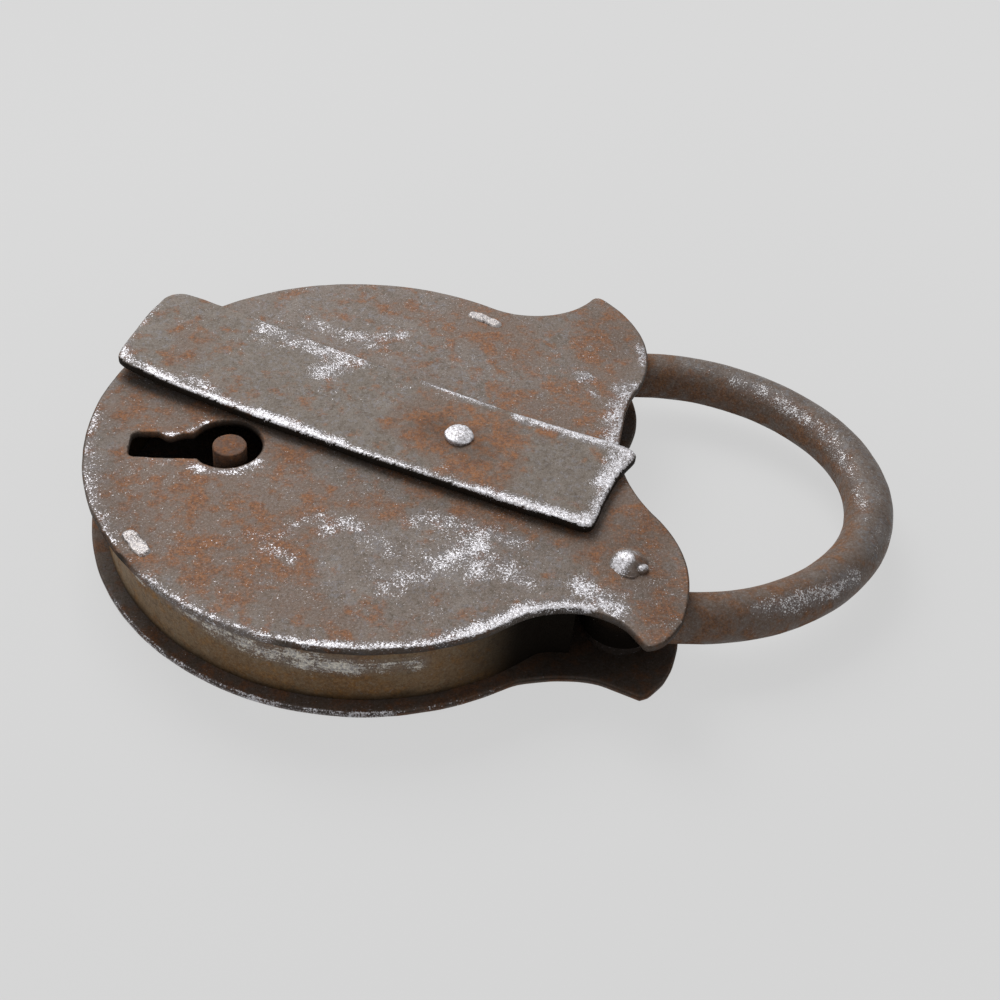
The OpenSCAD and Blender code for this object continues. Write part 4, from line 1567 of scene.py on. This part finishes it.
@dataclass
class KeyholeCover:
    """The hand-cut strip that swings over the keyhole, and its rivet.

    Attributes:
        pivot_x: The rivet's place along X.
        lies: Direction of the strip, in degrees.
        low: Height of its lower face.
        thick: Its thickness.
        rise: How far its long end is raised.
        bend_x: Where the rise begins, from the rivet.
        end_x: Where it ends, from the rivet.
        hole_r: Radius of its hole.
        shank_r: Radius of the rivet's shank.
        foot_r: Radius of the rivet's inner head.
        head_r: Radius of its outer head.
        corners: The strip's outline, from the rivet.
        bright: Rubbed places.
        stains: Rusted places, and clean ones with a negative strength.
    """

    pivot_x: float = 16.8
    lies: float = -25.2
    low: float = 17.3
    thick: float = 1.9
    rise: float = 1.6
    bend_x: float = -8.0
    end_x: float = -68.0
    hole_r: float = 1.78
    shank_r: float = 1.7
    foot_r: float = 3.4
    head_r: float = 2.62
    corners: tuple[Spot, ...] = (
        (30, -10), (29.5, -11.5), (17, -12), (-12, -12.5), (-42, -12.5), (-54, -12.2),
        (-63, -11.5), (-65.3, -10.5), (-66, -7.5), (-67.5, 4), (-67.5, 9.5), (-67, 11),
        (-65.5, 12.6), (-62.5, 13), (-50, 13.2), (-20, 12), (7, 11.2), (26, 12),
        (29, 12), (30.5, 11), (30.8, 9.8), (30, 6.5), (29.5, 2), (29.5, -3),
    )
    bright: tuple[Rub, ...] = (
        Rub(0.75, 3.4, ((-65.5, -8), (-63, -10.5), (-56, -12))),
        Rub(1.1, 3.0, ((-58, -11.5), (-48, -12), (-42, -12))),
        Rub(1.0, 2.6, ((-42, -12), (-34, -12))),
        Rub(1.4, 3.2, ((-35, -12), (-28, -12), (-18, -12.5))),
        Rub(1.1, 2.6, ((-18, -12.5), (-6, -12.5))),
        Rub(1.15, 3.0, ((-8, -12.5), (3, -12.5), (10, -12))),
        Rub(1.35, 3.6, ((10, -12), (20, -11.5), (29, -11))),
        Rub(0.75, 3.4, ((-50.5, -9.5), (-45.5, -10))),
        Rub(0.5, 2.4, ((-66, -6), (-67, 1), (-67.5, 6))),
        Rub(0.6, 3.4, ((-65, -9.5), (-65.5, -6.5))),
        Rub(0.3, 1.8, ((-66, 11.5), (-62, 13), (-54, 13.5))),
        Rub(0.5, 2.2, ((-50, 13), (-46, 13))),
        Rub(0.75, 4.6, ((-46, 11), (-38, 10.5), (-32, 10))),
        Rub(0.8, 3.4, ((-33, 11.5), (-25, 11))),
        Rub(0.36, 5.0, ((-50, 6), (-44, 7.5), (-38, 9))),
        Rub(0.9, 5.0, ((-30.5, 4.5), (-28.5, 7), (-28, 9))),
        Rub(0.28, 3.0, ((-24, 10.5), (-12, 10))),
        Rub(1.0, 1.8, ((-12, 11.5), (-4, 11), (2, 11))),
        Rub(1.35, 3.6, ((8, 11), (14, 11.5), (20, 11.5))),
        Rub(1.3, 4.0, ((20, 11.5), (28, 12))),
        Rub(1.15, 5.6, ((29, 10.5), (29, 5), (28.5, 1))),
        Rub(1.0, 4.0, ((29.5, 0), (29.5, -5), (30, -10))),
        Rub(1.2, 4.6, ((29, -9.5), (30, -10.5))),
        Rub(0.4, 2.6, ((-15.5, 7.5), (-14, 9))),
        Rub(0.35, 2.6, ((-9, 9), (-5, 8.5))),
        Rub(0.4, 2.8, ((1, -9), (4, -11))),
        Rub(0.35, 2.8, ((-28, -1), (-24, 1))),
    )
    stains: tuple[Rub, ...] = (
        Rub(1.7, 6.8, ((-7, 1), (-3, 5), (4, 5.5), (9, -1), (8, -8), (1, -6), (-6, -3))),
        Rub(0.8, 5.0, ((-7, 7), (-11, 4), (-12, -3))),
        Rub(0.8, 5.5, ((-55, 1), (-59, 2), (-54, -3))),
        Rub(0.6, 4.0, ((14, 7), (12, 9))),
        Rub(-0.7, 7.0, ((-46, 8), (-36, 6), (-26, 8))),
        Rub(-0.6, 8.0, ((18, 2), (24, -4))),
    )

    def build(self) -> None:
        """Makes the cover and its rivet."""
        self.build_strip()
        self.build_rivet()

    def build_strip(self) -> None:
        """Makes the strip: cut outline, softened rims, a gentle lift at its long end."""
        bm = bmesh.new()
        line = Outline(bm, self.corners[0])
        for corner in self.corners[1:]:
            line.run(corner, 1.1)
        line.close(1.1)
        for _ in range(2):
            smooth_flat(bm, bm.verts[:], 0.5)
        for vert in bm.verts:
            vert.co.y += 0.16 * wobble(vert.co, 6, 4.0) + 0.08 * wobble(vert.co, 2.0, 2.0)
            vert.co.x += 0.1 * wobble(vert.co, 2.2, 12.0)
        bmesh.ops.create_circle(bm, segments=32, radius=self.hole_r)
        SheetCut(self.low + self.thick, self.thick, rims=(0.22, 0.34),
                 drops=(0.42, 0.12), cell=0.9).build(bm)
        edge, side = bm.verts.layers.float["edge"], bm.verts.layers.float["side"]
        paint(bm, "wear", lambda vert: max(
            strongest(self.bright, vert.co),
            0.25 * vert[edge] + 0.1 * wobble(vert.co, 9, 3.0)) - 1.4 * vert[side])
        # Painted shade: the strip's sides are dark, and the halo darkens the strip round its rivet.
        halo = Rub(0.3, 6.5, ((-5, 0), (-1, -1), (4, -2)))
        paint(bm, "shade", lambda vert: max(0.95 * ease(1.6 * vert[side]), halo.at(vert.co)))
        paint(bm, "rust", lambda vert: stain_at(self.stains, vert.co))
        run = self.end_x - self.bend_x
        for vert in bm.verts:
            share = max(0.0, (vert.co.x - self.bend_x) / run)
            vert.co.z += self.rise * share * share
            vert.co.z += 0.05 * wobble(Vector((vert.co.x, vert.co.y, 0)), 15, 3.0) + 0.03
        bmesh.ops.transform(
            bm, verts=bm.verts[:],
            matrix=Matrix.Translation((self.pivot_x, 0, 0)) @ turn_z(self.lies),
        )
        install("keyhole_cover_strip", bm, COVER, Body.COVER, "keyhole_cover")

    def build_rivet(self) -> None:
        """Makes the cover's rivet with its flat, bright, ragged head."""
        bm = bmesh.new()
        disc(bm, self.foot_r, 14.4, FRONT_LOW, (self.pivot_x, 0))
        disc(bm, self.shank_r, 14.6, 19.4, (self.pivot_x, 0), 0.1)
        head = disc(bm, self.head_r, 19.05, 20.15, (self.pivot_x - 0.1, -0.15), 0.34, 56)
        faces = list({f for v in head for f in v.link_faces})
        bmesh.ops.poke(bm, faces=[f for f in faces if len(f.verts) > 8])
        head = list({v for f in faces if f.is_valid for v in f.verts} | set(head))
        head = [v for v in head if v.is_valid]
        for vert in head:
            way = Vector((vert.co.x - self.pivot_x, vert.co.y, 0))
            ragged = 0.2 * wobble(vert.co, 1.3, 3.0) + 0.12 * wobble(vert.co, 0.7, 9.0)
            vert.co += way.normalized() * ragged * min(1.0, way.length / 2.4)
            vert.co.z += 0.06 * wobble(vert.co, 1.2, 6.0)
        flatten(head, (self.pivot_x + 1.2, -1.2, 20.0), (0.3, -0.3, 1))
        bmesh.ops.recalc_face_normals(bm, faces=bm.faces)
        paint(bm, "wear", lambda vert: 1.3 if vert.co.z > 19.6 else 0.5)
        install("cover_rivet_head", bm, HEAD, Body.CASE, "cover_rivet", crease=50.0)


@dataclass
class Pins:
    """The hinge rivet, the key pin, the nose stump and the works left as drawn.

    Attributes:
        hinge: Centre of the hinge rivet.
        dome: Radius of its head at the plate, and the head's height before it was beaten.
        key: Centre of the key pin.
        nose: Centre of the nose stump.
        works: The pieces inside that keep their CAD shape, with their finishes.
    """

    hinge: tuple[float, float] = (45.2, -30.2)
    dome: tuple[float, float] = (3.5, 2.0)
    key: tuple[float, float] = (-24.4, -1.8)
    nose: tuple[float, float] = (41.7, 21.5)
    works: dict[str, Oxide] = field(default_factory=lambda: {
        "hinge_spacer_back": GAP_SHADE, "hinge_spacer_front": GAP_SHADE, "ward_ring": INNER,
        "slot_stump": INNER, "bolt_bridge": INNER, "detent_spring": LEAF,
        "spring_post": INNER, "bolt": INNER,
    })

    def build(self) -> None:
        """Makes the pins and dresses the works."""
        self.build_hinge()
        self.build_key_pin()
        self.build_nose_stump()
        for name, finish in self.works.items():
            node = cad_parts[name]
            node.data.materials.clear()
            node.data.materials.append(PAINTS.get(finish))
            LOG.info("%s: dressed as drawn", name)

    def build_hinge(self) -> None:
        """Makes the hinge rivet's beaten head with a small turned-over lobe.

        Its shank, through both plates, is made too. Only what stands above the front
        plate's face is made: the shank is left out.
        """
        bm = bmesh.new()
        x, y = self.hinge
        disc(bm, 2.5, 0.0, FRONT_TOP + 0.4, (x, y), 0.1)
        wide, high = self.dome
        radius = (wide**2 + high**2) / (2 * high)
        bmesh.ops.create_icosphere(
            bm, subdivisions=5, radius=radius,
            matrix=Matrix.Translation((x - 0.1, y + 1.1, FRONT_TOP + high - radius)),
        )
        cut = bmesh.ops.bisect_plane(
            bm, geom=bm.verts[:] + bm.edges[:] + bm.faces[:],
            plane_co=(0, 0, FRONT_TOP - 0.15), plane_no=(0, 0, -1), clear_outer=True,
        )
        rim = [g for g in cut["geom_cut"] if isinstance(g, BMEdge)]
        bmesh.ops.contextual_create(bm, geom=rim)
        top, y = FRONT_TOP, y + 0.9
        flatten(bm.verts, (x - 1.7, y - 0.8, top + 1.25), (-0.75, -0.5, 0.9), 0.15)
        flatten(bm.verts, (x + 0.2, y + 1.2, top + 1.75), (0.1, 0.4, 1.0), 0.3)
        flatten(bm.verts, (x + 1.5, y - 0.9, top + 1.05), (0.8, -0.6, 0.8), 0.2)
        flatten(bm.verts, (x + 2.2, y + 1.4, top + 0.9), (0.8, 0.5, 0.8), 0.35)
        for vert in bm.verts:
            vert.co += vert.normal * 0.05 * wobble(vert.co, 0.9, 3.0)
        bmesh.ops.create_icosphere(
            bm, subdivisions=3, radius=1.0,
            matrix=Matrix.Translation((x + 1.9, y - 1.5, top + 0.35))
            @ turn_z(20) @ Matrix.Diagonal((1.25, 0.95, 0.75, 1.0)),
        )
        for vert in bm.verts:
            vert.co += vert.normal * 0.12 * wobble(vert.co, 0.7, 5.0)
        bmesh.ops.recalc_face_normals(bm, faces=bm.faces)
        flat = (
            Rub(2.2, 2.6, ((x - 1.9, y - 0.9, top + 1.1), (x - 1.1, y - 0.2, top + 1.5))),
            Rub(1.0, 1.5, ((x - 2.2, y - 1.6, top + 0.6), (x - 1.4, y - 2.2, top + 0.6))),
            Rub(1.25, 1.2, ((x + 1.8, y - 1.6, top + 1.0), (x + 2.5, y - 1.3, top + 0.8))),
            Rub(0.7, 1.4, ((x, y + 1.4, top + 1.8), (x + 1, y + 1, top + 1.7))),
        )
        paint(bm, "wear", lambda vert: 0.12 + strongest(flat, vert.co)
              + 0.15 * wobble(vert.co, 1, 2.0))
        paint(bm, "rust", lambda vert: 0.6 - strongest(flat, vert.co))
        install("hinge_rivet_head", bm, HINGE_HEAD, Body.CASE, "hinge_rivet", crease=55.0)

    def build_key_pin(self) -> None:
        """Makes the key pin, its end a little mushroomed."""
        bm = bmesh.new()
        x, y = self.key
        disc(bm, 2.3, 0.0, SHEET + 0.5, (x, y), 0.1)
        pin = disc(bm, 3.05, SHEET, FRONT_TOP, (x, y), 0.3, 56)
        for vert in pin:
            way = Vector((vert.co.x - x, vert.co.y - y, 0)).normalized()
            if vert.co.z > FRONT_TOP - 1.0:
                vert.co += way * 0.06 * wobble(vert.co, 1.4, 3.0)
        paint(bm, "wear", lambda vert: 0.08)
        paint(bm, "rust", lambda vert: 0.5 + 0.3 * wobble(vert.co, 4, 2.0))
        # Painted shade: the pin darkens down its side in the keyhole, and its top face is a little
        # darker too.
        paint(bm, "shade", lambda vert: 0.14 + 0.3 * ease((FRONT_TOP - 0.2 - vert.co.z) / 0.3)
              + 0.5 * ease((FRONT_TOP - 1.0 - vert.co.z) / 8.0))
        install("key_pin_post", bm, PIN, Body.CASE, "key_pin")

    def build_nose_stump(self) -> None:
        """Makes the nose stump, filed nearly flush with the front plate."""
        bm = bmesh.new()
        x, y = self.nose
        disc(bm, 2.0, 0.0, FRONT_TOP + 0.03, (x, y), 0.12, 40)
        disc(bm, 1.2, FRONT_TOP - 0.5, FRONT_TOP + 0.14, (x - 0.2, y + 0.2), 0.12, 32)
        paint(bm, "wear", lambda vert: 1.1 - 0.3 * (vert.co.xy - Vector((x, y))).length)
        install("nose_stump_end", bm, STUMP, Body.CASE, "nose_stump")


# -------------------------------------------------------------------- studio


@dataclass
class Studio:
    """Floor, backdrop, lamps and camera.

    Attributes:
        eye: The camera's place, in millimetres.
        turn: Its turn about the upright axis, in degrees.
        tilt: Its tilt from looking straight down.
        roll: Its turn about its own line of sight.
        lens: Its lens, in millimetres on a sensor as wide as sensor.
        sensor: The sensor's width.
        paper: Colour of the floor and the backdrop.
        floor_half: Half the floor's width, in metres.
        floor_low: How far the floor lies below the lock, in metres.
        fade: Distances over which the floor's shading passes into plain paper, in metres.
        sky: Strength of the even light from all sides.
        lamps: Name, place, size and power of each lamp, in metres and watts.
        aim: Where the lamps look.
    """

    eye: Spot = (1.1, -207.0, 196.0)
    turn: float = -6.71
    tilt: float = 47.31
    roll: float = 6.24
    lens: float = 54.0
    sensor: float = 36.0
    paper: Colour = srgb(217, 217, 217)
    floor_half: float = 4.0
    floor_low: float = 0.00012
    fade: tuple[float, float] = (0.09, 0.24)
    sky: float = 0.2
    lamps: tuple[tuple[str, Spot, float, float], ...] = (
        ("high_soft", (-0.2, 0.5, 0.6), 0.5, 5.2),
        ("side_soft", (-0.6, -0.05, 0.4), 0.4, 0.7),
        ("near_fill", (0.2, -0.6, 0.35), 0.5, 0.4),
    )
    aim: Spot = (0.02, 0.0, 0.01)

    def build(self) -> None:
        """Sets up the whole studio."""
        scene = bpy.context.scene
        scene.view_settings.view_transform = "Standard"
        self.set_camera(scene)
        self.lay_floor()
        self.light(scene)

    def set_camera(self, scene: bpy.types.Scene) -> None:
        """Puts the camera where the lock is seen from above its near side.

        Args:
            scene: Scene that gets it.
        """
        data = bpy.data.cameras.new("view")
        data.lens, data.sensor_width = self.lens, self.sensor
        data.clip_start, data.clip_end = 0.01, 50.0
        camera = bpy.data.objects.new("view", data)
        lean = Matrix.Rotation(math.radians(self.tilt), 4, "X")
        axes = turn_z(self.turn) @ lean @ turn_z(self.roll)
        camera.matrix_world = Matrix.Translation(Vector(self.eye) * MM) @ axes
        scene.collection.objects.link(camera)
        scene.camera = camera

    def lay_floor(self) -> None:
        """Lays a wide pale floor that keeps the lock's shadow."""
        bm = bmesh.new()
        bmesh.ops.create_grid(bm, x_segments=2, y_segments=2, size=self.floor_half)
        bmesh.ops.translate(bm, verts=bm.verts[:], vec=(0, 0, -self.floor_low))
        floor = place_mesh(bm, "floor")
        bm.free()
        g = Graph("paper")
        path = g.node("ShaderNodeLightPath")
        g.feed(g.shader.inputs["Base Color"], self.paper)
        g.feed(g.shader.inputs["Roughness"], 0.9)
        glow = g.node("ShaderNodeEmission")
        g.feed(glow.inputs["Color"], self.paper)
        seen = g.math("MAXIMUM", path.outputs["Is Camera Ray"], path.outputs["Is Glossy Ray"])
        seen = g.math("MAXIMUM", seen, path.outputs["Is Transmission Ray"])
        far = g.node("ShaderNodeVectorMath", operation="LENGTH")
        g.feed(far.inputs[0], g.place)
        plain = g.blend(g.ramp(far.outputs["Value"], *self.fade), 0.84, 1.0)
        share = g.node("ShaderNodeMixShader")
        g.feed(share.inputs[0], g.times(seen, plain))
        g.feed(share.inputs[1], g.shader.outputs[0])
        g.feed(share.inputs[2], glow.outputs[0])
        out = g.tree.nodes["Material Output"]
        g.feed(out.inputs["Surface"], share.outputs[0])
        floor.data.materials.append(g.material)

    def light(self, scene: bpy.types.Scene) -> None:
        """Hangs the lamps and sets the plain sky.

        Args:
            scene: Scene that gets them.
        """
        world = bpy.data.worlds.new("sky")
        world.use_nodes = True
        tree = world.node_tree
        sky = tree.nodes["Background"]
        sky.inputs["Color"].default_value = (1.0, 1.0, 1.0, 1.0)
        sky.inputs["Strength"].default_value = self.sky
        seen = tree.nodes.new("ShaderNodeBackground")
        seen.inputs["Color"].default_value = (*self.paper, 1.0)
        path = tree.nodes.new("ShaderNodeLightPath")
        share = tree.nodes.new("ShaderNodeMixShader")
        seen_by = path.outputs["Is Camera Ray"]
        for kind in ("Is Glossy Ray", "Is Transmission Ray"):
            either = tree.nodes.new("ShaderNodeMath")
            either.operation = "MAXIMUM"
            tree.links.new(seen_by, either.inputs[0])
            tree.links.new(path.outputs[kind], either.inputs[1])
            seen_by = either.outputs[0]
        tree.links.new(seen_by, share.inputs[0])
        tree.links.new(sky.outputs[0], share.inputs[1])
        tree.links.new(seen.outputs[0], share.inputs[2])
        tree.links.new(share.outputs[0], tree.nodes["World Output"].inputs["Surface"])
        scene.world = world
        for lamp in self.lamps:
            self.hang(*lamp)

    def hang(self, name: str, spot: Spot, size: float, power: float) -> None:
        """Hangs one soft lamp that looks at the lock.

        Args:
            name: Its name.
            spot: Its place in metres.
            size: Side of its square face in metres.
            power: Its power in watts.
        """
        data = bpy.data.lights.new(name, "AREA")
        data.shape, data.size, data.energy = "SQUARE", size, power
        lamp = bpy.data.objects.new(name, data)
        lamp.location = spot
        way = Vector(self.aim) - Vector(spot)
        lamp.rotation_euler = way.to_track_quat("-Z", "Y").to_euler()
        bpy.context.scene.collection.objects.link(lamp)


def main() -> None:
    """Builds the lock and the studio in order."""
    logging.basicConfig(level=logging.INFO, format="%(message)s")
    for part in (Plates(), Walls(), Shackle(), KeyholeCover(), Pins(), Studio()):
        part.build()
        LOG.info("built %s", type(part).__name__)


if __name__ == "__main__":
    main()
